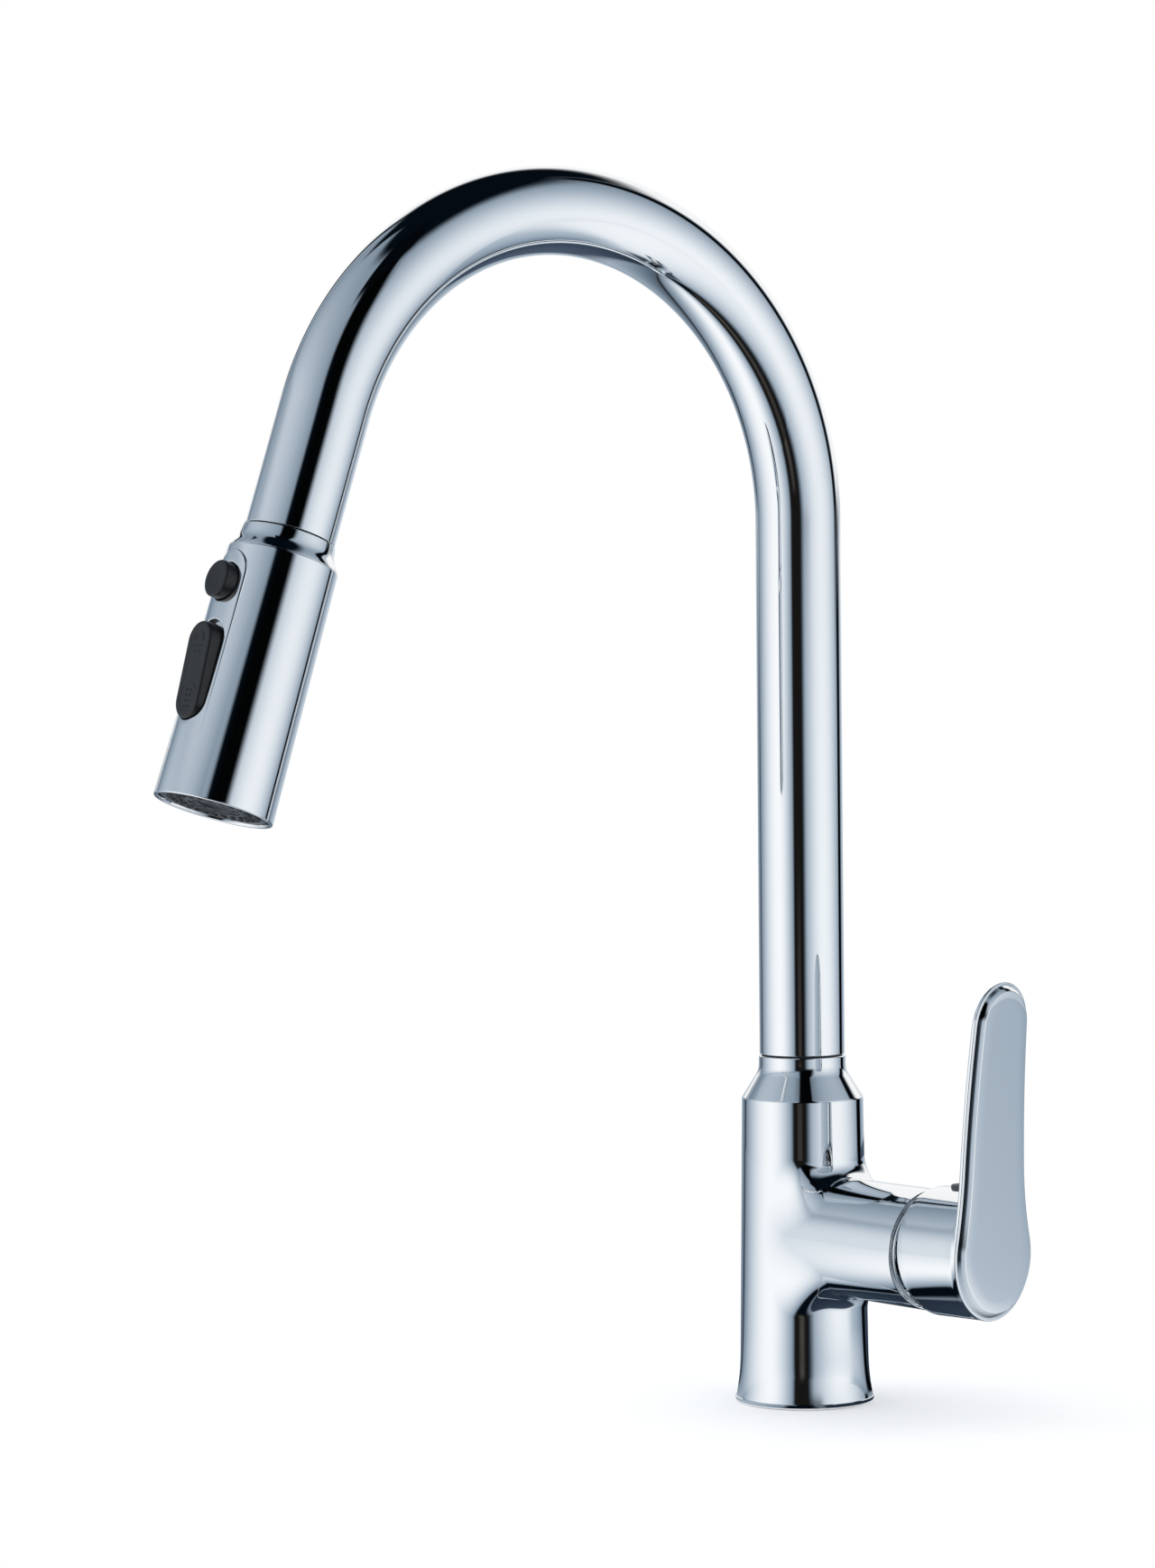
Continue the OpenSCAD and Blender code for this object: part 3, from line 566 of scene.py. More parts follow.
@dataclass(frozen=True)
class Finish:
    """A finish that stands alone as a material, fed by one of the shared groups.

    A field with the name of one of the group's inputs is that input's value.
    """

    slot: Slot
    group: ClassVar[str]

    def own(self) -> dict[str, float]:
        """Values of the shader's own sockets."""
        return {}

    def bump(self) -> Pair:
        """Strength and depth of its bump."""
        return 0.0, 0.0

    def build(self, groups: SurfaceGroups) -> Material:
        """Make the material.

        Args:
            groups: Shader groups that the finishes share.

        Returns:
            The material.
        """
        material, tree = empty_material(self.slot.value)
        shader = tree.add("ShaderNodeBsdfPrincipled", self.own())
        tree.add("ShaderNodeOutputMaterial", {"Surface": shader})
        group = tree.add("ShaderNodeGroup", node_tree=getattr(groups, self.group))
        for socket in group.inputs:
            value = getattr(self, socket.name.lower().replace(" ", "_"), None)
            if value is not None:
                socket.default_value = (*value, 1) if isinstance(value, tuple) else value
        for name, target in (("Colour", "Base Color"), ("Roughness", "Roughness")):
            if name in group.outputs:
                tree.fill(shader, {target: group.outputs[name]})
        strength, depth = self.bump()
        if strength:
            tree.fill(shader, {"Normal": tree.add("ShaderNodeBump", {
                "Strength": strength, "Distance": depth, "Height": group.outputs["Height"]})})
        return material


@dataclass(frozen=True)
class Metal(Finish):
    """Plated, turned or buffed metal."""

    group: ClassVar[str] = "polish"
    colour: Colour
    tarnish: Colour
    roughness: float
    haze: float = 0.02
    haze_size: float = 40.0
    hairline_size: float = 900.0
    hairline: float = 0.02
    tarnish_amount: float = 0.1

    def own(self) -> dict[str, float]:
        """Values of the shader's own sockets."""
        return {"Metallic": 1.0}

    def bump(self) -> Pair:
        """Strength and depth of the hairline scratches."""
        return self.hairline, 0.00002


@dataclass(frozen=True)
class Moulding(Finish):
    """Moulded plastic, rubber or ceramic."""

    group: ClassVar[str] = "moulded"
    colour: Colour
    roughness: float
    shade: float = 0.15
    spread: float = 0.08
    grain_size: float = 2500.0
    grain: float = 0.15
    coat: float = 0.0
    specular: float = 0.4

    def own(self) -> dict[str, float]:
        """Values of the shader's own sockets."""
        return {"Coat Weight": self.coat, "Specular IOR Level": self.specular}

    def bump(self) -> Pair:
        """Strength and depth of the grain."""
        return self.grain, 0.00005


@dataclass(frozen=True)
class Sleeve(Finish):
    """Braided sleeve of the pull-out hose."""

    group: ClassVar[str] = "braid"
    dark: Colour
    light: Colour
    roughness: float = 0.45

    def own(self) -> dict[str, float]:
        """Values of the shader's own sockets."""
        return {"Roughness": self.roughness}

    def bump(self) -> Pair:
        """Strength and depth of the braid."""
        return 0.6, 0.0003


FINISHES: tuple[Finish, ...] = (
    Metal(Slot.CHROME, (0.885, 0.9, 0.915), (0.86, 0.88, 0.9), 0.035, haze_size=35.0,
          hairline=0.0, tarnish_amount=0.25),
    Metal(Slot.STEEL, (0.62, 0.62, 0.61), (0.5, 0.5, 0.49), 0.22, haze=0.12, hairline=0.25,
          tarnish_amount=0.5),
    Metal(Slot.BRASS, (0.72, 0.52, 0.24), (0.48, 0.33, 0.15), 0.28, haze=0.15, hairline=0.3,
          tarnish_amount=0.6),
    Moulding(Slot.RUBBER, (0.014, 0.014, 0.015), 0.62, spread=0.15),
    Moulding(Slot.WHITE, (0.72, 0.71, 0.68), 0.42),
    Moulding(Slot.CERAMIC, (0.82, 0.81, 0.78), 0.16, shade=0.05, grain=0.03, coat=0.4),
    Moulding(Slot.BLUE, (0.05, 0.2, 0.42), 0.4),
    Moulding(Slot.ORANGE, (0.72, 0.2, 0.06), 0.4),
    Moulding(Slot.GREY, (0.12, 0.125, 0.135), 0.48),
    Moulding(Slot.DARK, (0.03, 0.031, 0.033), 0.46),
    Moulding(Slot.MAGNET, (0.05, 0.05, 0.052), 0.35, grain=0.3),
    Moulding(Slot.BUTTON, (0.0062, 0.0065, 0.008), 0.3, spread=0.1, grain_size=3500.0,
             grain=0.08, specular=0.42),
    Moulding(Slot.NOZZLE, (0.022, 0.024, 0.027), 0.45),
    Moulding(Slot.SPRAY, (0.04, 0.045, 0.052), 0.26, grain=0.06),
    Sleeve(Slot.BRAID, (0.03, 0.03, 0.032), (0.2, 0.205, 0.215)),
)


class Workshop:
    """Holds the finishes and the patterns, and dresses the frame's own nodes."""

    def __init__(self) -> None:
        """Build every finish and every pattern."""
        groups = SurfaceGroups()
        self.materials = {finish.slot.value: finish.build(groups) for finish in FINISHES}
        self.pattern = Pattern()

    def dress_frame(self) -> None:
        """Give each CAD node the finish of its slot."""
        slots = {part.get("node", part.get("name")): part.get("material_slot")
                 for part in frame["record"]["subparts"]}
        plain = self.materials[Slot.DARK.value]
        for name, node in frame["nodes"].items():
            node.data.materials.clear()
            node.data.materials.append(self.materials.get(slots.get(name) or "", plain))


@dataclass
class Assembly:
    """A sub-assembly, which makes its pieces and hangs them on its main body."""

    shop: Workshop
    body: Body

    def place(self, name: str, shape: Skin | Mesh, slot: Slot,
              stands_for: Sequence[str] = (), body: Optional[Body] = None,
              rims: bool = False) -> Object:
        """Put a piece in the scene.

        Args:
            name: Name of the piece.
            shape: Its skin, or its mesh in metres, already in place.
            slot: Its finish, which is also its slot.
            stands_for: CAD nodes that it replaces.
            body: Body that it rides on, where it isn't the main one.
            rims: Whether its open rims are closed.

        Returns:
            The new object.
        """
        mesh = shape.mesh(name) if isinstance(shape, Skin) else shape
        body = body or self.body
        close_up(mesh, rims)
        piece = add_object(name, mesh)
        mesh.materials.clear()
        mesh.materials.append(self.shop.materials[slot.value])
        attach(piece, body.value)
        if stands_for:
            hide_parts(*stands_for)
        log.info("%s: %d faces on %s in %s", name, len(mesh.polygons), body.value, slot.value)
        return piece


class Pattern:
    """Geometry Nodes trees for what repeats or follows a path."""

    def __init__(self) -> None:
        """Build each tree once."""
        self.tube = self._swept_tube()
        self.ring = self._ring_of()

    @staticmethod
    def _start(name: str, inputs: dict) -> tuple[Tree, Node, Node]:
        """Begin a tree with geometry in and out, its named sizes and a material."""
        inputs = {**GEOMETRY, **inputs, "Material": "NodeSocketMaterial"}
        return Tree.group("GeometryNodeTree", name, inputs, GEOMETRY)

    @staticmethod
    def _finish(tree: Tree, given: Node, out: Node,
                geometry: Node) -> NodeTree:
        """End a tree in Realize Instances and Set Material.

        Args:
            tree: The wrapped tree.
            given: Its input node.
            out: Its output node.
            geometry: What the tree has made.

        Returns:
            The whole tree.
        """
        real = tree.add("GeometryNodeRealizeInstances", {"Geometry": geometry})
        paint = tree.add("GeometryNodeSetMaterial", {"Geometry": real,
                                                     "Material": given.outputs["Material"]})
        tree.fill(out, {0: paint})
        return tree.tree

    def _swept_tube(self) -> NodeTree:
        """A tube up a riser, round a bend and down an outlet, swept from a straight line.

        Returns:
            The tree.
        """
        tree, given, out = self._start("swept_tube", {
            "Start": 0.1, "Riser": 0.1, "Bend Radius": 0.1, "Bend Angle": 2.8, "Outlet": 0.04,
            "Radius": 0.014, "Bore Radius": 0.0128, "Steps": 400, "Sides": 128})
        get = given.outputs
        bend = tree.math("MULTIPLY", get["Bend Radius"], get["Bend Angle"])
        total = tree.math("ADD", tree.math("ADD", get["Riser"], bend), get["Outlet"])
        tip = tree.add("ShaderNodeCombineXYZ", {"Z": total})
        line = tree.add("GeometryNodeCurvePrimitiveLine", {"End": tip})
        path = tree.add("GeometryNodeResampleCurve",
                        {"Curve": line, "Count": get["Steps"]})
        run = tree.add("ShaderNodeSeparateXYZ",
                       {0: tree.add("GeometryNodeInputPosition")}).outputs[2]
        up = tree.math("MINIMUM", run, get["Riser"])
        turned = tree.math("DIVIDE", tree.math("SUBTRACT", run, get["Riser"]), get["Bend Radius"])
        turned = tree.math("MAXIMUM", tree.math("MINIMUM", turned, get["Bend Angle"]), 0.0)
        past = tree.math("MAXIMUM", tree.math(
            "SUBTRACT", run, tree.math("ADD", get["Riser"], bend)), 0.0)
        reach = tree.math("MULTIPLY", get["Bend Radius"],
                          tree.math("SUBTRACT", 1.0, tree.math("COSINE", turned)))
        reach = tree.math("MULTIPLY_ADD", past, tree.math("SINE", get["Bend Angle"]), reach)
        rise = tree.math("MULTIPLY_ADD", get["Bend Radius"], tree.math("SINE", turned), up)
        rise = tree.math("MULTIPLY_ADD", past, tree.math("COSINE", get["Bend Angle"]), rise)
        spot = tree.add("ShaderNodeCombineXYZ", {"Y": tree.math("MULTIPLY", reach, -1.0),
                                                 "Z": tree.math("ADD", rise, get["Start"])})
        bent = tree.add("GeometryNodeSetPosition", {"Geometry": path,
                                                    "Position": spot})
        walls = []
        for radius in (get["Radius"], get["Bore Radius"]):
            ring = tree.add("GeometryNodeCurvePrimitiveCircle",
                            {"Resolution": get["Sides"], "Radius": radius})
            walls.append(tree.add("GeometryNodeCurveToMesh",
                                  {"Curve": bent,
                                   "Profile Curve": ring}))
        inside = tree.add("GeometryNodeFlipFaces", {"Mesh": walls[1]})
        both = tree.add("GeometryNodeJoinGeometry")
        for wall in (walls[0], inside):
            tree.fill(both, {0: wall})
        return self._finish(tree, given, out, both)

    def _ring_of(self) -> NodeTree:
        """Copies of one small mesh, set evenly round a circle and turned with it.

        Returns:
            The tree.
        """
        tree, given, out = self._start("ring_of_pieces", {
            "Piece": "NodeSocketObject", "Count": 12, "Radius": 0.01, "Turn": 0.0})
        get = given.outputs
        ring = tree.add("GeometryNodeMeshCircle", {"Vertices": get["Count"],
                                                   "Radius": get["Radius"]})
        index = tree.add("GeometryNodeInputIndex")
        step = tree.math("DIVIDE", 2 * math.pi, get["Count"])
        angle = tree.math("MULTIPLY", index, step)
        turn = tree.add("ShaderNodeCombineXYZ", {"Z": angle})
        piece = tree.add("GeometryNodeObjectInfo", {"Object": get["Piece"]})
        copies = tree.add("GeometryNodeInstanceOnPoints",
                          {"Points": ring, "Instance": piece.outputs["Geometry"],
                           "Rotation": turn})
        whole = tree.add("ShaderNodeCombineXYZ", {"Z": get["Turn"]})
        turned = tree.add("GeometryNodeTransform", {"Geometry": copies,
                                                    "Rotation": whole})
        return self._finish(tree, given, out, turned)

    @staticmethod
    def run(tree: NodeTree, sizes: dict, place: Place = UPRIGHT) -> Mesh:
        """Run a tree and return its result as a plain mesh.

        Args:
            tree: The Geometry Nodes tree.
            sizes: Values of its inputs by name.
            place: Frame that the result is set in.

        Returns:
            The mesh, in metres, in place.
        """
        holder = add_object("pattern", bpy.data.meshes.new("pattern"))
        modifier = holder.modifiers.new("pattern", "NODES")
        modifier.node_group = tree
        for item in tree.interface.items_tree:
            if item.in_out == "INPUT" and item.name in sizes:
                modifier[item.identifier] = sizes[item.name]
        graph = bpy.context.evaluated_depsgraph_get()
        mesh = bpy.data.meshes.new_from_object(holder.evaluated_get(graph))
        holder.modifiers.remove(modifier)
        bpy.data.objects.remove(holder)
        points = np.empty(len(mesh.vertices) * 3)
        mesh.vertices.foreach_get("co", points)
        moved = place(points.reshape(-1, 3) / MM) * MM
        mesh.vertices.foreach_set("co", moved.astype(np.float32).ravel())
        mesh.update()
        return mesh

    def ring_mesh(self, piece: Mesh, count: int, radius: float, turn: float,
                  place: Place) -> Mesh:
        """Set copies of a small mesh round a circle.

        Args:
            piece: The small mesh, in metres, about its own origin.
            count: How many copies.
            radius: Radius of the circle in millimetres.
            turn: Turn of the whole ring in degrees.
            place: Frame whose Z axis the ring goes round.

        Returns:
            One mesh with every copy.
        """
        model = add_object("model_piece", piece)
        mesh = self.run(self.ring, {"Piece": model, "Count": count, "Radius": radius * MM,
                                    "Turn": math.radians(turn)}, place)
        bpy.data.objects.remove(model)
        return tidy(mesh)


# ---------------- body


@dataclass
class ValveBody(Assembly):
    """Chromed column with its side boss, and what shows in its joints."""

    body: Body = Body.BASE
    height: float = 114.0
    foot_radius: float = 22.9
    barrel_radius: float = 21.1
    shoulder_radius: float = 20.0
    flare_height: float = 18.0
    shoulder_height: float = 100.1
    cone_top: float = 109.3
    collar_radius: float = 14.3
    socket_radius: float = 11.1
    passage_radius: float = 6.8
    boss_radius: float = 19.3
    boss_reach: float = 64.1
    blend_radius: float = 5.0
    side_blend_radius: float = 45.0
    columns: int = 192
    window_columns: int = 46
    row_step: float = 1.5
    window_low: float = 27.0
    window_high: float = 87.0
    screw_height: float = 96.0
    screw_radius: float = 2.7
    screw_low: float = 91.5
    screw_high: float = 99.0
    screw_columns: int = 16
    screw_depth: float = 6.0
    screw_end: float = 19.0
    screw_chamfer: float = 0.25
    flare_power: float = 2.6
    port_circle: float = 12.6
    port_radius: float = 4.45
    port_depth: float = 14.0
    stud_radius: float = 3.4
    stud_depth: float = 16.0
    pivot: float = 56.0
    dome: float = 17.8
    dome_wall: float = 1.6
    dome_mouth: float = 11.0
    seal_radius: float = 20.1
    seal_wire: float = 1.05

    def side(self, height: float) -> float:
        """Radius of the barrel's straight taper at a height."""
        run = (height - self.flare_height) / (self.shoulder_height - self.flare_height)
        return self.barrel_radius + (self.shoulder_radius - self.barrel_radius) * run

    def foot_side(self, height: float) -> float:
        """Radius of the flared foot at a height."""
        flare = (1 - height / self.flare_height) ** self.flare_power
        return self.side(height) + (self.foot_radius - self.side(0.0)) * flare

    def outline(self) -> tuple[Outline, int]:
        """Outline of the column.

        Returns:
            The closed outline, and the index of its first barrel row.
        """
        edge = self.foot_radius
        under = rounded([(self.passage_radius, 3), (self.passage_radius, 0, 0.5),
                         (18.8, 0, 0.2), (18.8, 2.2), (21.4, 2.2), (21.4, 0, 0.2),
                         (edge, 0, 0.5), (edge, 1.5)])
        flare = [(self.foot_side(z), z) for z in np.linspace(1.6, 17.0, 20)]
        barrel = [(self.side(z), z) for z in np.arange(self.flare_height, 99.1, self.row_step)]
        top = rounded([(self.side(99.2), 99.2), (self.shoulder_radius, 100.1, 2.4),
                       (self.collar_radius, self.cone_top, 7.0),
                       (self.collar_radius, self.height, 0.45),
                       (self.socket_radius + 0.2, self.height, 0.2),
                       (self.socket_radius, self.height - 3)], steps=10)
        inner = [(self.socket_radius, 78.0), (self.passage_radius, 78.0), (self.passage_radius, 3)]
        return under + flare + barrel + top + inner, len(under) + len(flare)

    def opening(self, first: int, low: int, high: int, left: int, right: int) -> Outline:
        """Edge of a window in the column's grid.

        Args:
            first: Index of the first barrel row.
            low: Lowest row of the window.
            high: Highest row.
            left: First column.
            right: Last column.

        Returns:
            Its angles and heights, in order.
        """
        angle = [2 * math.pi * j / self.columns for j in range(left, right + 1)]
        rise = [self.flare_height + self.row_step * (i - first) for i in range(low, high + 1)]
        return ([(a, rise[0]) for a in angle] + [(angle[-1], z) for z in rise[1:]]
                + [(a, rise[-1]) for a in angle[-2::-1]] + [(angle[0], z) for z in rise[-2:0:-1]])

    def on_barrel(self, angle: np.ndarray, height: np.ndarray) -> np.ndarray:
        """Points on the barrel at angles and heights."""
        return polar(self.side(height), angle, height)

    def ball(self, turn: np.ndarray) -> tuple[np.ndarray, ...]:
        """Ball that rolls between the column and the boss.

        Args:
            turn: Angles round the boss, from its top.

        Returns:
            Radius, way out from the boss, centre, and distance from the column's axis.
        """
        roll = self.blend_radius + (self.side_blend_radius - self.blend_radius) * np.abs(
            np.sin(turn)) ** 3.5
        out = np.stack([0 * turn, np.sin(turn), np.cos(turn)], axis=-1)
        axis = np.array([0, 0, BOSS_HEIGHT]) + (self.boss_radius + roll)[:, None] * out
        span = self.side(axis[:, 2]) + roll
        return roll, out, axis + np.outer(np.sqrt(span ** 2 - axis[:, 1] ** 2), (1, 0, 0)), span

    def boss_rows(self, edge: Sequence[Pair]) -> np.ndarray:
        """Lead the window's edge over the rolling-ball blend and along the boss.

        Args:
            edge: Angles and heights of the window's edge.

        Returns:
            Rows of points, which end inside the boss.
        """
        angle, height = np.array(edge).T
        fine = np.linspace(-math.pi, math.pi, 1441)
        path = self.ball(fine)[2]
        # radians for a millimetre of height, so that a turn is felt alike both ways
        scale = math.radians(3.1)
        seen = np.unwrap(np.arctan2(np.arctan2(path[:, 1], path[:, 0]),
                                    (path[:, 2] - BOSS_HEIGHT) * scale))
        turn = np.interp(np.arctan2(angle, (height - BOSS_HEIGHT) * scale), seen, fine)
        roll, out, centre, span_r = self.ball(turn)
        meet = np.arctan2(centre[:, 1], centre[:, 0])
        rows = [self.on_barrel(angle + (meet - angle) * t, height + (centre[:, 2] - height) * t)
                for t in np.linspace(0, 1, 13)]
        to_barrel = -centre * (1, 1, 0) / span_r[:, None]
        span = np.arccos(-(to_barrel * out).sum(axis=1))
        for t in np.linspace(0, 1, 19)[1:]:
            arc = (np.sin(span * (1 - t)) / np.sin(span))[:, None] * to_barrel \
                - (np.sin(span * t) / np.sin(span))[:, None] * out
            rows.append(centre + roll[:, None] * arc)
        foot = np.array([0, 0, BOSS_HEIGHT]) + self.boss_radius * out
        for t in np.linspace(0, 1, 15)[1:]:
            along = centre[:, 0] + (self.boss_reach - 0.5 - centre[:, 0]) * t
            rows.append(foot + np.outer(along, (1, 0, 0)))
        end = rounded([(self.boss_radius, 60), (self.boss_radius, self.boss_reach, 0.45),
                       (16.6, self.boss_reach, 0.2), (16.5, 52), (14, 52), (14, 31)])
        for radius, along in end[1:]:
            rows.append(np.array([along, 0, BOSS_HEIGHT]) + radius * out)
        return np.array(rows)

    def screw_rows(self, edge: Sequence[Pair]) -> np.ndarray:
        """Lead a window's edge into the grub screw's hole in the back.

        Args:
            edge: Angles and heights of the window's edge.

        Returns:
            Rows of points, which end in the hole.
        """
        angle, height = np.array(edge).T
        middle = angle.mean()
        turn = np.arctan2((angle - middle) * self.shoulder_radius, height - self.screw_height)
        rows = []
        radius = self.screw_radius + self.screw_chamfer
        for t in np.linspace(0, 1, 5):
            rows.append(self.on_barrel(
                angle + (middle + radius * np.sin(turn) / self.shoulder_radius - angle) * t,
                height + (self.screw_height + radius * np.cos(turn) - height) * t))
        for radius, depth in ((self.screw_radius + 0.07, 0.07),
                              (self.screw_radius, self.screw_chamfer),
                              (self.screw_radius, self.screw_depth)):
            ring = self.on_barrel(middle + radius * np.sin(turn) / self.shoulder_radius,
                                  self.screw_height + radius * np.cos(turn))
            rows.append(ring - np.array([math.cos(middle), math.sin(middle), 0]) * depth)
        return np.array(rows)

    def build(self) -> None:
        """Make the body, its bonnet, seal and grub screw."""
        outline, first = self.outline()
        half, back = self.window_columns, self.columns // 4
        low, high, screw_low, screw_high = (
            first + round((height - self.flare_height) / self.row_step) for height in
            (self.window_low, self.window_high, self.screw_low, self.screw_high))
        windows = ((low, high, -half, half),
                   (screw_low, screw_high, back - self.screw_columns, back + self.screw_columns))

        def keep(i: int, j: int) -> bool:
            """Whether a face of the column's grid lies outside both windows."""
            return not any(start <= i < stop and (j - left) % self.columns < right - left
                           for start, stop, left, right in windows)

        skin = Skin()
        skin.sheet(revolve(outline, UPRIGHT, self.columns), closed=True, keep=keep)
        for window, lead in zip(windows, (self.boss_rows, self.screw_rows)):
            rows = lead(self.opening(first, *window))
            skin.sheet(rows, closed=True).cap(rows[-1])
        self.place("valve_body_skin", self.with_ports(skin.mesh("valve_body_skin")), Slot.CHROME,
                   ("valve_body",))
        self.bonnet()
        wire = self.seal_wire
        seal = [(self.seal_radius + wire * math.cos(a), 1.1 + wire * math.sin(a))
                for a in np.linspace(0, 2 * math.pi, 25)]
        self.place("base_seal_ring", Skin().lathe(seal, UPRIGHT, 192), Slot.RUBBER,
                   ("base_seal",))
        self.grub_screw()

    def bonnet(self) -> None:
        """Make the flanged dome between the boss and the lever."""
        dome, inside = self.dome, self.dome - self.dome_wall
        flange = self.boss_reach + 0.1
        start = math.acos((flange + 1.2 - self.pivot) / dome)
        stop = math.asin(self.dome_mouth / dome)
        arc = [(dome * math.sin(a), self.pivot + dome * math.cos(a))
               for a in np.linspace(start, stop, 18)]
        inner = [(inside * math.sin(a), self.pivot + inside * math.cos(a))
                 for a in np.linspace(math.asin(self.dome_mouth / inside), 1.07, 12)]
        ring = rounded([(14.2, 59.3), (16.45, 59.3), (16.45, flange),
                        (18.3, flange, 0.25), (18.3, flange + 1.2, 0.4), arc[0]])
        self.place("bonnet_ring",
                   Skin().lathe(ring + arc[1:] + inner + [(14.2, 59.3)], ALONG_BOSS),
                   Slot.CHROME, ("bonnet",))

    def with_ports(self, mesh: Mesh) -> Mesh:
        """Cut the hose ports and stud holes into the underside.

        Args:
            mesh: The body's closed mesh.

        Returns:
            The body with its five holes.
        """
        cutter = Skin()
        ports = [(turn, self.port_radius, self.port_depth) for turn in (60, -60, 120)]
        studs = [(turn, self.stud_radius, self.stud_depth) for turn in (0, 180)]
        for turn, radius, depth in ports + studs:
            angle = math.radians(turn)
            outline = rounded([(0, -2), (radius, -2), (radius, depth), (0, depth)])
            cutter.lathe(outline, UPRIGHT.moved(self.port_circle * math.cos(angle),
                                                self.port_circle * math.sin(angle), 0), 48)
        body = add_object("cut_body", mesh)
        tool = add_object("cut_tool", cutter.mesh("cut_tool"))
        cut = body.modifiers.new("holes", "BOOLEAN")
        cut.operation, cut.object, cut.solver = "DIFFERENCE", tool, "EXACT"
        graph = bpy.context.evaluated_depsgraph_get()
        result = bpy.data.meshes.new_from_object(body.evaluated_get(graph))
        result.name = mesh.name
        for piece in (body, tool):
            bpy.data.objects.remove(piece)
        return tidy(result)

    def grub_screw(self) -> None:
        """Make the grub screw, with its hexagon socket, in the back of the body."""
        place = Place((0, 0, self.screw_height), ((1, 0, 0), (0, 0, -1), (0, 1, 0)))
        depth, shank = self.screw_end, self.screw_radius
        sides = np.arange(48) * 2 * math.pi / 48
        hexagon = 1.3 / np.cos((sides + math.pi / 6) % (math.pi / 3) - math.pi / 6)
        rows = []
        for radius, height in ((shank - 0.1, 12), (shank - 0.1, depth - 0.3),
                               (shank - 0.4, depth), (hexagon + 0.15, depth),
                               (hexagon, depth - 0.15), (hexagon, depth - 1.8)):
            rows.append(place(polar(radius, sides, height)))
        skin = Skin().sheet(np.array(rows), closed=True).cap(rows[-1])
        self.place("spout_grub_screw", skin, Slot.STEEL, ("spout_screw",), rims=True)


# ---------------- spout


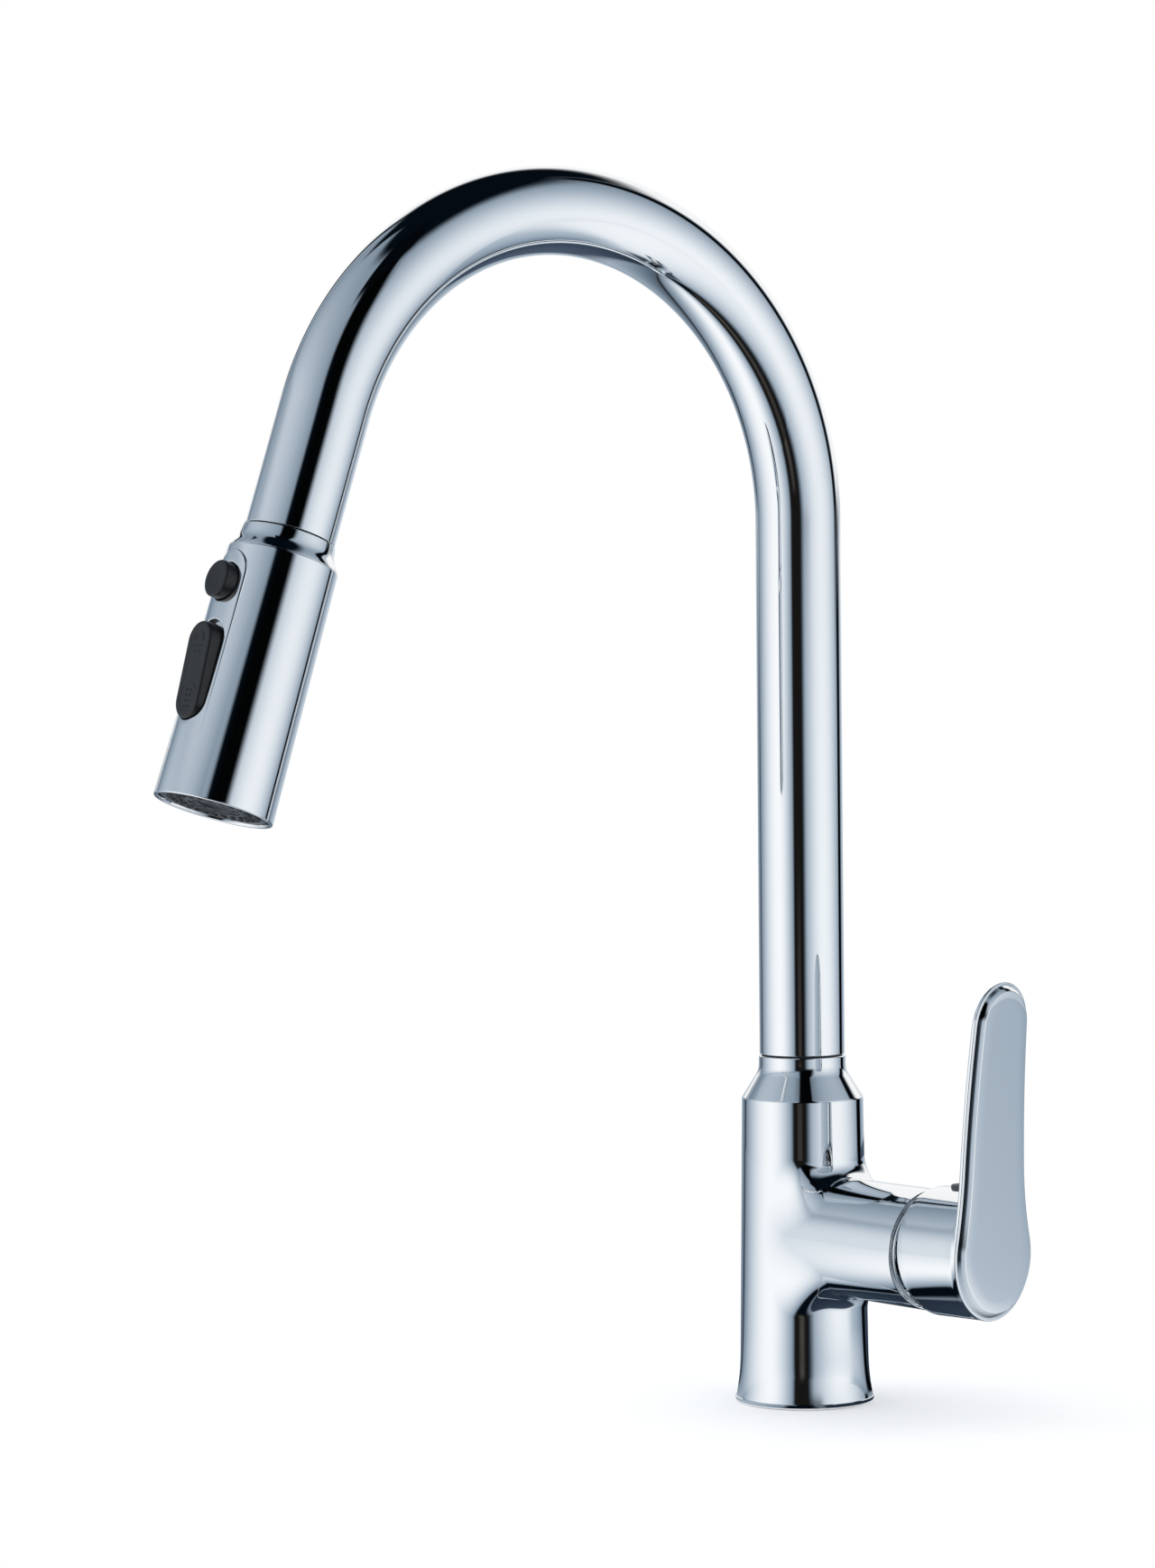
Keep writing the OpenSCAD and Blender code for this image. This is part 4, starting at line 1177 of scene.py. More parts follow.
@dataclass
class Spout(Assembly):
    """Gooseneck tube and the hose that runs inside it."""

    body: Body = Body.SPOUT
    start: float = 114.55
    arch_height: float = 289.85
    arch_radius: float = 96.4
    outlet: float = 41.1
    radius: float = 14.0
    bore: float = 12.8
    hose_radius: float = 6.3
    hose_bore: float = 3.6
    pull: float = 400.0
    lip: float = 0.4
    sides: int = 144
    steps: int = 328
    hose_steps: int = 240
    hose_sides: int = 32
    mid_height: float = 100.0
    riser_half: float = 30.0

    def sizes(self, start: float, outlet: float) -> dict[str, float]:
        """Sizes of a swept tube that follows the spout.

        Args:
            start: Height of its foot.
            outlet: Length of its straight end.

        Returns:
            Values of the tree's inputs, in metres and radians.
        """
        return {"Start": start * MM, "Riser": (self.arch_height - start) * MM,
                "Bend Radius": self.arch_radius * MM, "Bend Angle": ARCH_ANGLE,
                "Outlet": outlet * MM}

    def build(self) -> None:
        """Make the tube, its rolled ends and the hose."""
        pattern, lip = self.shop.pattern, self.lip
        tube = pattern.run(pattern.tube, {
            **self.sizes(self.start + lip, self.outlet - lip), "Radius": self.radius * MM,
            "Bore Radius": self.bore * MM, "Steps": self.steps, "Sides": self.sides})
        edge = rounded([(self.radius, lip), (self.radius, 0, 0.35), (self.bore, 0, 0.2),
                        (self.bore, lip)], steps=6)
        across, front, down = AT_MOUTH.axes
        mouth = Place(AT_MOUTH.origin, (across, tuple(-v for v in front),
                                        tuple(-v for v in down)))
        ends = Skin().lathe(edge, UPRIGHT.moved(0, 0, self.start), self.sides)
        ends.lathe(edge, mouth, self.sides)
        whole = tidy(join_meshes("gooseneck", [tube, ends.mesh("ends")]), outward=False)
        self.place("gooseneck", whole, Slot.CHROME, ("gooseneck_tube",))
        self.hose()
        self.hose_reach()

    def hose(self) -> None:
        """Make the hose inside the spout."""
        pattern = self.shop.pattern
        hose = pattern.run(pattern.tube, {
            **self.sizes(0.0, 0.0), "Radius": self.hose_radius * MM,
            "Bore Radius": self.hose_bore * MM, "Steps": self.hose_steps,
            "Sides": self.hose_sides})
        self.sleeve_map(hose, 0.0)
        hose = tidy(hose, outward=False)
        self.join_walls(hose)
        self.place("hose_run", hose, Slot.BRAID, ("pull_hose",))

    def join_walls(self, mesh: Mesh) -> None:
        """Join a tube's outer and inner walls at its foot and at its mouth.

        Args:
            mesh: The tube, in place.
        """
        work = bmesh.new()
        work.from_mesh(mesh)
        for low in (True, False):
            bmesh.ops.bridge_loops(work, edges=[
                edge for edge in work.edges
                if edge.is_boundary and (edge.verts[0].co.z < self.mid_height * MM) == low])
        work.to_mesh(mesh)
        work.free()

    def hose_reach(self) -> None:
        """Make the reach of hose that runs out with the spray head."""
        near, far = -self.outlet + 0.6, -17.0
        outline = [(self.hose_radius, z) for z in np.linspace(near, far, 160)]
        inside = [(self.hose_bore, z) for z in np.linspace(far, near, 40)]
        reach = Skin().lathe(outline + inside + outline[:1], AT_MOUTH, 40).mesh("hose_reach")
        self.sleeve_map(reach, self.pull / (far - near))
        piece = add_object("hose_reach", reach)
        reach.materials.append(self.shop.materials[Slot.BRAID.value])
        start, end = (tuple(AT_MOUTH((0, 0, z)) * MM) for z in (near, far))
        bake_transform(piece)
        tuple(start)
        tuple(end)
        log.info("hose_reach: stretches between spout and hose end")

    def sleeve_map(self, mesh: Mesh, stretch: float) -> None:
        """Lay UVs round and along the hose, drawn out where the hose is pulled.

        Args:
            mesh: Tube in place.
            stretch: Extra length per millimetre of the straight outlet.
        """
        points = np.empty(len(mesh.vertices) * 3)
        mesh.vertices.foreach_get("co", points)
        points = points.reshape(-1, 3) / MM
        local = (points - np.array(AT_MOUTH.origin)) @ np.array(AT_MOUTH.axes).T
        bend = np.arctan2(points[:, 2] - self.arch_height, points[:, 1] + self.arch_radius)
        straight = points[:, 2] < self.arch_height
        along = np.where(straight & (points[:, 1] > -self.riser_half), points[:, 2],
                         self.arch_height + bend * self.arch_radius)
        if stretch:
            along = local[:, 2] * (1 + stretch)
            around = np.arctan2(local[:, 1], local[:, 0])
        else:
            flat = np.hypot(points[:, 1] + self.arch_radius, points[:, 2] - self.arch_height)
            out = np.where(straight, points[:, 1], flat - self.arch_radius)
            around = np.arctan2(out, points[:, 0])
        layer = mesh.uv_layers.new(name="sleeve")
        for loop in mesh.loops:
            v = loop.vertex_index
            layer.data[loop.index].uv = (around[v] / (2 * math.pi) + 0.5, along[v] * MM)
        for face in mesh.polygons:
            us = [layer.data[i].uv[0] for i in face.loop_indices]
            if max(us) - min(us) > 0.5:
                for i in face.loop_indices:
                    if layer.data[i].uv[0] < 0.5:
                        layer.data[i].uv[0] += 1.0


# ---------------- lever


@dataclass
class LeverHandle(Assembly):
    """Lever: a hollow hub that runs into a twisted, bowed blade with a bevelled face."""

    body: Body = Body.LEVER
    hub_radius: float = 20.5
    hub_rear: float = 13.0
    rim_slant: float = 3.5
    skirt_radius: float = 18.8
    foot_radius: float = 19.7
    reach: float = 85.2
    tip_radius: float = 13.3
    taper: float = 3.1
    waist_radius: float = 118.0
    rim_step: float = 0.9
    back: float = 1.5
    bow: float = 5.5
    fillet: float = 4.5
    columns: int = 192
    hub_floor: float = 17.0
    plug_along: float = 21.6
    plug_radius: float = 3.0
    plug_ribs: int = 26

    def half(self, inset: float) -> np.ndarray:
        """Half outline of the blade, from the foot's bottom to the tip's crown.

        Args:
            inset: How far it is drawn in.

        Returns:
            Points (across, up).
        """
        taper = math.radians(self.taper)
        tip_v = self.reach - self.tip_radius
        normal = np.array([math.cos(taper), math.sin(taper)])
        down = np.array([math.sin(taper), -math.cos(taper)])
        start = np.array([0, tip_v]) + (self.tip_radius + self.waist_radius) * normal
        run = tip_v * math.cos(taper) - math.sqrt(
            (tip_v * math.cos(taper)) ** 2 - start @ start
            + (self.foot_radius + self.waist_radius) ** 2)
        waist = start + run * down
        foot = math.atan2(waist[1], waist[0])

        def arc(middle: Sequence[float], radius: float, a: float, b: float, n: int) -> np.ndarray:
            """Points of an arc about a middle."""
            angles = np.linspace(a, b, n)
            return np.array(middle) + radius * np.stack([np.cos(angles), np.sin(angles)], axis=1)

        lower = arc((0, 0), self.foot_radius - inset, -math.pi / 2, foot, 64)
        middle = arc(waist, self.waist_radius + inset, foot + math.pi, math.pi + taper, 40)
        upper = arc((0, tip_v), self.tip_radius - inset, taper, math.pi / 2, 44)
        run_up = middle[-1] + (upper[0] - middle[-1]) * np.linspace(0, 1, 24)[1:-1, None]
        return np.concatenate([lower, middle[1:], run_up, upper])

    def lift(self, points: np.ndarray, height: float) -> np.ndarray:
        """Give outline points a height above the bowed plane of the blade."""
        rise = height + self.bow * (np.maximum(points[..., 1], 0) / self.reach) ** 2
        return np.concatenate([points, rise[..., None]], axis=-1)

    def ring(self, height: float, inset: float) -> np.ndarray:
        """Closed ring of the blade at a height and an inset."""
        half = self.half(inset)
        return self.lift(np.concatenate([half, half[-2:0:-1] * (-1, 1)]), height)

    def field(self, height: float, inset: float) -> np.ndarray:
        """Rows of points across the blade, which fill its ring at a height and an inset."""
        across = [self.half(inset) * (t, 1) for t in np.linspace(1, -1, 13)]
        return self.lift(np.stack(across, axis=1), height)

    def blade(self, skin: Skin, place: Place) -> None:
        """Add the blade: back, rolled rim, groove, bevel and face.

        Args:
            skin: Skin of the lever.
            place: Frame of the blade.
        """
        step = self.rim_step
        rim = rounded([(-self.back, 2.0), (-self.back, -step, 1.1), (0, -step, 0.5),
                       (0.02, -0.12, 0.12), (-0.45, 0.02, 0.1), (0.1, 0.16, 0.1),
                       (1.15, 1.02, 5.0), (2.0, 1.95, 0.5), (2.1, 5.0)], steps=7)
        rings = [place(self.ring(height, inset)) for height, inset in rim]
        skin.sheet(np.array(rings), closed=True)
        for end in (rim[-1], rim[0]):
            skin.sheet(place(self.field(*end)))

    def hub_rows(self, place: Place) -> np.ndarray:
        """Rows from inside the hub, round its slanted rear rim and out to the blade.

        Args:
            place: Frame of the blade.

        Returns:
            Rows of points.
        """
        turn = np.arange(self.columns) * 2 * math.pi / self.columns
        out = np.stack([np.sin(turn), np.cos(turn)], axis=1)
        slant = math.tan(math.radians(self.rim_slant))
        origin = np.array(place.origin)
        axes = np.array(place.axes)
        hub_axes = np.array(ALONG_HUB.axes)

        def ring(radius: float, along: np.ndarray) -> np.ndarray:
            """A ring of the hub at a radius and distances from the pivot."""
            local = np.concatenate([out * radius, (along + 0 * turn)[:, None]], axis=1)
            return ALONG_HUB(local)

        rear = self.hub_rear - slant * out[:, 1] * self.hub_radius
        rows = [ring(0.01, self.hub_floor), ring(self.skirt_radius, self.hub_floor),
                ring(self.skirt_radius, rear + 0.4)]
        for t in np.linspace(0, math.pi / 2, 6):
            rows.append(ring(self.hub_radius - 0.5 * (1 - math.sin(t)),
                             rear + 0.5 * (1 - math.cos(t))))
        # where lines along the hub meet the blade's plane
        base = ring(self.hub_radius, 0 * turn)
        normal = axes[2]
        distance = (origin - base) @ normal / (hub_axes[2] @ normal)
        edge = self.half(-self.rim_step)
        angle = np.arctan2(edge[:, 0], edge[:, 1])
        radius = np.hypot(edge[:, 0], edge[:, 1])
        order = np.argsort(angle)
        wide = np.interp(np.abs((turn + math.pi) % (2 * math.pi) - math.pi), angle[order],
                         radius[order])
        fillet = np.clip(0.55 * (wide - self.hub_radius - 0.9), 0.0, self.fillet)
        weight = np.clip(fillet / 1.2, 0, 1)[:, None]
        weight = weight * weight * (3 - 2 * weight)
        stop = distance - self.back - np.maximum(fillet, 1.5)
        first = rear + 0.5
        for t in np.linspace(0, 1, 10)[1:]:
            rows.append(ring(self.hub_radius, first + (stop - first) * t))
        rim = self.foot_radius + self.rim_step
        for t in np.linspace(0, 1, 13)[1:]:
            bend = t * math.pi / 2
            height = -self.back - fillet + fillet * math.sin(bend)
            grow = fillet * (1 - math.cos(bend))
            flank = ring(self.hub_radius, distance + height)
            ray = out[:, :1] * axes[0] + out[:, 1:] * axes[1]
            curved = flank + grow[:, None] * ray
            low = -self.back - 1.5 + (self.back + 1.1) * t
            straight = ring(self.hub_radius, distance + low)
            flat = origin + rim * ray + low * normal
            ease = t * t * (3 - 2 * t)
            rows.append((straight + (flat - straight) * ease) * (1 - weight) + curved * weight)
        return np.array(rows)

    def build(self) -> None:
        """Make the lever and the plug over its screw."""
        place = blade_place()
        skin = Skin()
        self.blade(skin, place)
        skin.sheet(self.hub_rows(place), closed=True)
        self.place("lever_skin", skin, Slot.CHROME, ("lever_handle",))
        self.plug()

    def plug(self) -> None:
        """Make the ribbed plug on top of the hub."""
        across, up, out = ALONG_HUB.axes
        place = Place(ALONG_HUB.moved(0, 0, self.plug_along).origin, (out, across, up))
        top = self.hub_radius + 1.2
        foot, radius = self.hub_floor, self.plug_radius
        core = Skin().lathe(rounded([(radius, foot), (radius, top, 0.5), (1.2, top, 0.15),
                                     (1.0, top - 0.3, 0.15), (0.01, top - 0.3)]), place, 64)
        rib = rounded([(0, foot), (0.26, foot), (0.26, top - 0.35, 0.2),
                       (0, top - 0.2)], steps=3)
        ribs = self.shop.pattern.ring_mesh(Skin().lathe(rib, UPRIGHT, 10).mesh("rib"),
                                           self.plug_ribs, radius, 0.0, place)
        self.place("hub_plug", join_meshes("hub_plug", [core.mesh("plug_core"), ribs]), Slot.GREY,
                   ("screw_plug",), rims=True)


# ---------------- spray head


@dataclass
class SprayHead(Assembly):
    """Chromed spray head with its neck, raised pad, button and rocker."""

    body: Body = Body.SPRAY_HEAD
    neck: float = 8.0
    end: float = 86.7
    top_radius: float = 17.2
    end_radius: float = 18.35
    pad_half: float = 7.7
    pad_front: float = 17.6
    pad_curve: float = 23.0
    pad_soft: float = 0.3
    pad_roll: float = 0.75
    arch_at: float = 17.8
    pad_foot: float = 66.0
    pause_at: float = 20.6
    pause_radius: float = 5.8
    rocker_at: float = 48.3
    rocker_length: float = 30.0
    rocker_width: float = 12.2
    gap: float = 0.35
    columns: int = 192
    window_columns: int = 18
    window_top: float = 9.0
    window_foot: float = 78.0
    divide: float = 30.0
    slack: float = 1e-6
    lip_at: float = 86.1
    window_edge_radius: float = 0.22
    button_face: float = 21.0
    rocker_lean: float = 4.5
    rocker_top: float = 9.1
    coil_radius: float = 3.0
    coil_wire: float = 0.35
    coil_rise: float = 2.2
    coil_turns: float = 3.5
    coil_kept: float = 0.19

    def barrel(self, along: np.ndarray) -> np.ndarray:
        """Radius of the barrel at a distance below the mouth."""
        return self.top_radius + (self.end_radius - self.top_radius) * (
            along - self.neck) / (self.end - self.neck)

    def surface(self, spots: np.ndarray) -> np.ndarray:
        """Front of the barrel at (across, along) spots."""
        return np.sqrt(np.maximum(self.barrel(spots[:, 1]) ** 2 - spots[:, 0] ** 2, 0.01))

    def pad(self, spots: np.ndarray) -> np.ndarray:
        """Front of the flatter pad, or of the barrel where that stands further out.

        Args:
            spots: Points (across, along).

        Returns:
            Their fronts, with a soft change from one to the other.
        """
        low = self.surface(spots)
        high = self.pad_front - self.pad_curve + np.sqrt(self.pad_curve ** 2 - spots[:, 0] ** 2)
        near = np.maximum(self.pad_soft - np.abs(high - low), 0) / self.pad_soft
        return np.maximum(low, high) + near * near * self.pad_soft / 4

    @staticmethod
    def on_slot(spots: np.ndarray, low: float, high: float, radius: float) -> np.ndarray:
        """Nearest points to (across, along) spots of a slot with its ends and its radius."""
        middle = np.stack([0 * spots[:, 0], np.clip(spots[:, 1], low, high)], axis=1)
        return middle + radius * (spots - middle) / np.linalg.norm(spots - middle, axis=1)[:, None]

    @staticmethod
    def solid(spots: np.ndarray, front: np.ndarray) -> np.ndarray:
        """Place (across, along) spots at their front, in the head's frame."""
        return AT_MOUTH(np.stack([spots[:, 0], front, spots[:, 1]], axis=1))

    def window_edge(self) -> np.ndarray:
        """Edge of the pad's window in the barrel's grid.

        Returns:
            Points (across, along), in order.
        """
        step = 2 * math.pi / self.columns
        side = [k * step for k in range(-self.window_columns, self.window_columns + 1)]
        down = np.arange(self.window_top, self.window_foot + 0.1, 1.0)
        loop = ([(a, down[0]) for a in side] + [(side[-1], s) for s in down[1:]]
                + [(a, down[-1]) for a in side[-2::-1]] + [(side[0], s) for s in down[-2:0:-1]])
        angle, along = np.array(loop).T
        return np.stack([self.barrel(along) * np.sin(angle), along], axis=1)

    def pad_rows(self, edge: np.ndarray) -> tuple[list[np.ndarray], np.ndarray]:
        """Lead the window's edge to the pad's foot and over its rolled border.

        Args:
            edge: Points (across, along) of the window's edge.

        Returns:
            Rows of points, and the last row's (across, along) points.
        """
        foot = self.on_slot(edge, self.arch_at, self.pad_foot, self.pad_half)
        rows = []
        for t in np.linspace(0, 1, 7):
            spots = edge + (foot - edge) * t
            rows.append(self.solid(spots, self.surface(spots)))
        step = np.maximum(self.pad(foot) - self.surface(foot), 1e-5)
        roll = np.minimum(self.pad_roll, step)
        for t in np.linspace(0, math.pi / 2, 8):
            inner = self.on_slot(foot, self.arch_at, self.pad_foot, self.pad_half - 0.02
                                 - self.pad_roll * (1 - math.cos(t)))
            share = (step - roll + roll * math.sin(t)) / step
            low = self.surface(inner)
            rows.append(self.solid(inner, low + (self.pad(inner) - low) * share))
        return rows, inner

    def window_rows(self, window: tuple, depth: float) -> np.ndarray:
        """Lead a loop on the pad to a slot's edge and down its wall.

        Args:
            window: Loop of (across, along) points, the slot's two ends and its radius.
            depth: Depth of its wall.

        Returns:
            Rows of points.
        """
        loop, low, high, radius = window
        soft = self.window_edge_radius
        hole = self.on_slot(loop, low, high, radius + soft)
        rows = [self.solid(loop + (hole - loop) * t, self.pad(loop + (hole - loop) * t))
                for t in np.linspace(0, 1, 7)]
        for t in np.linspace(0, math.pi / 2, 5)[1:]:
            spots = self.on_slot(loop, low, high, radius + soft * (1 - math.sin(t)))
            rows.append(self.solid(spots, self.pad(spots) - soft * (1 - math.cos(t))))
        spots = self.on_slot(loop, low, high, radius)
        rows.append(self.solid(spots, self.pad(spots) - depth))
        return np.array(rows)

    def from_side(self, loop: np.ndarray, pick: Callable) -> np.ndarray:
        """Start a loop at its left (min) or right (max) end on the dividing line."""
        on_line = np.flatnonzero(np.abs(loop[:, 1] - self.divide) < self.slack)
        return np.roll(loop, -pick(on_line, key=lambda k: loop[k, 0]), axis=0)

    def window_loops(self, inner: np.ndarray) -> tuple[np.ndarray, np.ndarray]:
        """Part the pad into a loop round the button and one round the rocker.

        Args:
            inner: Points (across, along) inside the pad's border.

        Returns:
            The two loops, which share the dividing line.
        """
        across = np.linspace(inner[:, 0].max(), inner[:, 0].min(), 25)[1:-1]
        line = np.stack([across, 0 * across + self.divide], axis=1)
        upper = self.from_side(inner[inner[:, 1] <= self.divide + self.slack], min)
        lower = self.from_side(inner[inner[:, 1] >= self.divide - self.slack], max)
        return np.concatenate([upper, line]), np.concatenate([lower, line[::-1]])

    def shell(self) -> None:
        """Make the chromed shell with its pad and two windows."""
        end, neck, start = self.end, self.neck, self.window_top - 0.3
        top = rounded([(13.9, 9.4), (13.9, neck), (self.top_radius, neck, 0.5),
                       (self.barrel(start), start)])
        side = [(self.barrel(s), s) for s in np.arange(self.window_top, self.lip_at, 1.0)]
        lip = rounded([(self.barrel(self.lip_at), self.lip_at), (self.end_radius, end, 0.45),
                       (self.end_radius - 1.3, end, 0.4), (self.end_radius - 1.5, end - 1.5),
                       (16.75, 82.4), (15.9, 9.8), (13.9, 9.4)], steps=7)
        first = len(top)
        last = first + round(self.window_foot - self.window_top)
        left = self.columns // 4 - self.window_columns

        def keep(i: int, j: int) -> bool:
            """Whether a face of the barrel's grid lies outside the pad's window."""
            return not (first <= i < last and left <= j < left + 2 * self.window_columns)

        skin = Skin().sheet(revolve(top + side + lip, AT_MOUTH, self.columns), closed=True,
                            keep=keep)
        rows, inner = self.pad_rows(self.window_edge())
        skin.sheet(np.array(rows), closed=True)
        half = self.rocker_length / 2 + 0.9 - self.rocker_width / 2 - self.gap
        slots = ((self.pause_at, self.pause_at, self.pause_radius + self.gap),
                 (self.rocker_at - half, self.rocker_at + half, self.rocker_width / 2 + self.gap))
        windows = [(loop, *slot) for loop, slot in zip(self.window_loops(inner), slots)]
        for window, depth in zip(windows, (5.0, 4.0)):
            skin.sheet(self.window_rows(window, depth), closed=True)
        self.liners(windows)
        self.place("head_shell_skin", skin.mesh("head_shell_skin", 32), Slot.CHROME,
                   ("head_shell",))

    def liners(self, windows: Sequence[tuple]) -> None:
        """Line both windows with black walls: partly the head's inner body, partly painted shade
        in the narrow gaps.

        Args:
            windows: Loop on the pad, ends of the middle line and radius of each.
        """
        skin = Skin()
        for loop, low, high, radius in windows:
            rows = []
            for shrink, depth in ((-0.25, 4.2), (-0.25, 0.75), (0.03, 0.34), (0.06, 0.34),
                                  (0.08, 0.5), (0.08, 3.9), (0.3, 4.2), (-0.25, 4.2)):
                spots = self.on_slot(loop, low, high, radius - shrink)
                rows.append(self.solid(spots, self.pad(spots) - depth))
            skin.sheet(np.array(rows), closed=True)
        # black walls that paint shade into the gaps round the button and the rocker
        self.place("window_liners", skin, Slot.DARK)

    def collar(self) -> None:
        """Make the flared neck between the spout's mouth and the barrel."""
        along = np.linspace(0.5, 7.9, 34)
        radii = np.interp(along, (0.5, 2.0, 3.4, 4.6, 5.6, 6.7, 7.9),
                          (14.42, 14.62, 14.84, 15.16, 15.68, 16.36, 16.95))
        for _ in range(6):
            radii[1:-1] = (radii[:-2] + 2 * radii[1:-1] + radii[2:]) / 4
        flare = zip(radii[1:-1], along[1:-1])
        outline = rounded([(9.2, 0.5), (radii[0], 0.5, 0.18), *flare, (radii[-1], 7.94, 0.12),
                           (13.9, 7.94), (13.9, 9.2), (9.2, 9.2), (9.2, 0.5)],
                          steps=5)
        self.place("neck_ring", Skin().lathe(outline, AT_MOUTH, 192), Slot.CHROME,
                   ("neck_collar",))

    def button_frame(self, lift: float) -> Place:
        """Frame on the button's axis, lifted along it: X across, Y up and Z outwards."""
        (across, front, down), origin = AT_MOUTH.axes, AT_MOUTH((0, lift, self.pause_at))
        return Place(tuple(origin), (across, tuple(-v for v in down), front))

    def pause(self) -> None:
        """Make the round pause button."""
        face = self.button_face
        outline = rounded([(0.01, 10), (4.0, 10, 0.3), (4.0, 14.6),
                           (self.pause_radius, 14.6, 0.3), (self.pause_radius, face - 0.1, 0.9),
                           (4.6, face, 1.5), (2.0, face - 0.22, 3.0), (0.01, face - 0.28)],
                          steps=7)
        self.place("pause_cap", Skin().lathe(outline, self.button_frame(0), 96), Slot.BUTTON,
                   ("pause_button",), Body.PAUSE_BUTTON)

    def spring(self) -> None:
        """Wind the spring under the pause button."""
        place, wire = self.button_frame(7.0), self.coil_wire
        turn = np.linspace(0, 2 * math.pi * self.coil_turns, int(28 * self.coil_turns))[:, None]
        round_wire = np.arange(10) * 2 * math.pi / 10
        radius = self.coil_radius + wire * np.cos(round_wire)
        rows = place(polar(radius, turn, wire * np.sin(round_wire) + wire + 0.05
                           + self.coil_rise * turn / turn[-1]))
        skin = Skin().sheet(rows, closed=True).cap(rows[0]).cap(rows[-1])
        piece = self.place("button_spring", skin, Slot.STEEL, ("pause_spring",))
        tuple(place.axes[2])
        tuple(np.array(place.origin) * MM)
        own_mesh(piece)

    def rocker(self) -> None:
        """Make the mode rocker with its raised signs."""
        lean = math.radians(self.rocker_lean)
        across, front, down = (np.array(v) for v in AT_MOUTH.axes)
        pin = tuple(AT_MOUTH((0, 11.0, self.rocker_at)))
        out = front * math.cos(lean) + down * math.sin(lean)
        along = down * math.cos(lean) - front * math.sin(lean)
        place = Place(pin, (tuple(across), tuple(along), tuple(out)))
        half = self.rocker_length / 2 - self.rocker_width / 2
        radius = self.rocker_width / 2
        top = self.rocker_top

        turn = np.arange(128) * 2 * math.pi / 128
        circle = np.stack([np.cos(turn), np.sin(turn)], axis=1)
        shift = np.outer(np.where(np.sin(turn) >= -self.slack, half, -half), (0, 1))

        def slot(drop: float, height: float) -> np.ndarray:
            """A ring of the rocker, drawn in by a drop, at a height above the pin."""
            spots = (radius - drop) * circle + shift
            return np.column_stack([spots, np.full(len(spots), height)])

        section = rounded([(0.9, 4.6), (0.15, 4.6, 0.2), (0.0, 6.0), (0.12, top, 0.75),
                           (1.6, top + 0.02, 1.0), (2.6, top - 0.12, 0.6), (3.2, top - 0.14)],
                          steps=6)
        rows = np.array([place(slot(drop, height)) for drop, height in section])
        flat = np.array([place(slot(t, top - 0.14)) for t in np.linspace(3.2, 6.05, 6)])
        skin = Skin().sheet(rows, closed=True).sheet(flat, closed=True)
        skin.cap(flat[-1]).cap(rows[0])
        heel = rounded([(0.01, -4.4), (2.7, -4.4, 0.3), (2.7, 4.4, 0.3), (0.01, 4.4)])
        skin.lathe(heel, Place(pin, (tuple(along), tuple(out), tuple(across))), 40)
        pieces = [skin.mesh("rocker_cap")] + self.signs(place, top - 0.14)
        self.place("mode_rocker", join_meshes("mode_rocker", pieces), Slot.BUTTON, ("rocker",),
                   Body.ROCKER, rims=True)

    @staticmethod
    def signs(place: Place, height: float) -> list[Mesh]:
        """Raised signs of the rocker: drops under an arch, and an outlined patch of dots.

        Args:
            place: Frame of the rocker's face, Y down it and Z outwards.
            height: Height of the face.

        Returns:
            One mesh for each sign.
        """
        def bead(path: np.ndarray, radius: float) -> np.ndarray:
            """A thin raised bead along a path on the face.

            Args:
                path: Points of the path.
                radius: Half width of the bead.

            Returns:
                Rows of points.
            """
            ahead = np.gradient(path, axis=0)
            ahead /= np.linalg.norm(ahead, axis=1)[:, None]
            sideways = np.stack([ahead[:, 1], -ahead[:, 0]], axis=1)
            rows = []
            for t in np.linspace(-math.pi / 2 - 0.6, math.pi / 2 + 0.6, 8):
                spots = path + sideways * radius * math.sin(t)
                rows.append(place(np.column_stack(
                    [spots, np.full(len(path), height + radius * 0.55 * math.cos(t))])))
            return np.array(rows)

        quarter = [(math.cos(a), 0.75, math.sin(a)) for a in np.linspace(0, math.pi / 2, 6)]

        def dome(x: float, y: float, radius: float) -> Skin:
            """A small round dome, across and down the face."""
            outline = [(radius * u, radius * flat * v) for u, flat, v in quarter]
            return Skin().lathe(outline, place.moved(x, y, height - 0.06), 14)

        turn = np.linspace(math.pi * 0.02, math.pi * 0.98, 40)
        arch = np.stack([2.3 * np.cos(turn), -9.4 - 2.2 * np.sin(turn)], axis=1)
        beads = Skin().sheet(bead(arch, 0.26))
        bar = np.stack([np.linspace(2.3, -2.3, 24), np.full(24, -9.2)], axis=1)
        beads.sheet(bead(bar, 0.22))
        loop = np.arange(73) * 2 * math.pi / 72
        oval = np.stack([3.7 * np.sign(np.cos(loop)) * np.abs(np.cos(loop)) ** 0.62,
                         8.6 + 4.4 * np.sign(np.sin(loop)) * np.abs(np.sin(loop)) ** 0.8], axis=1)
        beads.sheet(bead(oval, 0.2))
        meshes = [beads.mesh("sign_lines")]
        for x, y, radius in ((-1.9, -7.2, 0.38), (0, -7.2, 0.38), (1.9, -7.2, 0.38),
                             (-0.95, -5.6, 0.34), (0.95, -5.6, 0.34)):
            meshes.append(dome(x, y, radius).mesh("drop"))
        for x in (-0.95, 0.95):
            for y in (6.2, 7.9, 9.6, 11.3):
                meshes.append(dome(x, y, 0.42).mesh("dot"))
        return meshes

    def build(self) -> None:
        """Make every piece of the spray head but its face."""
        for make in (self.collar, self.shell, self.pause, self.spring, self.rocker):
            make()


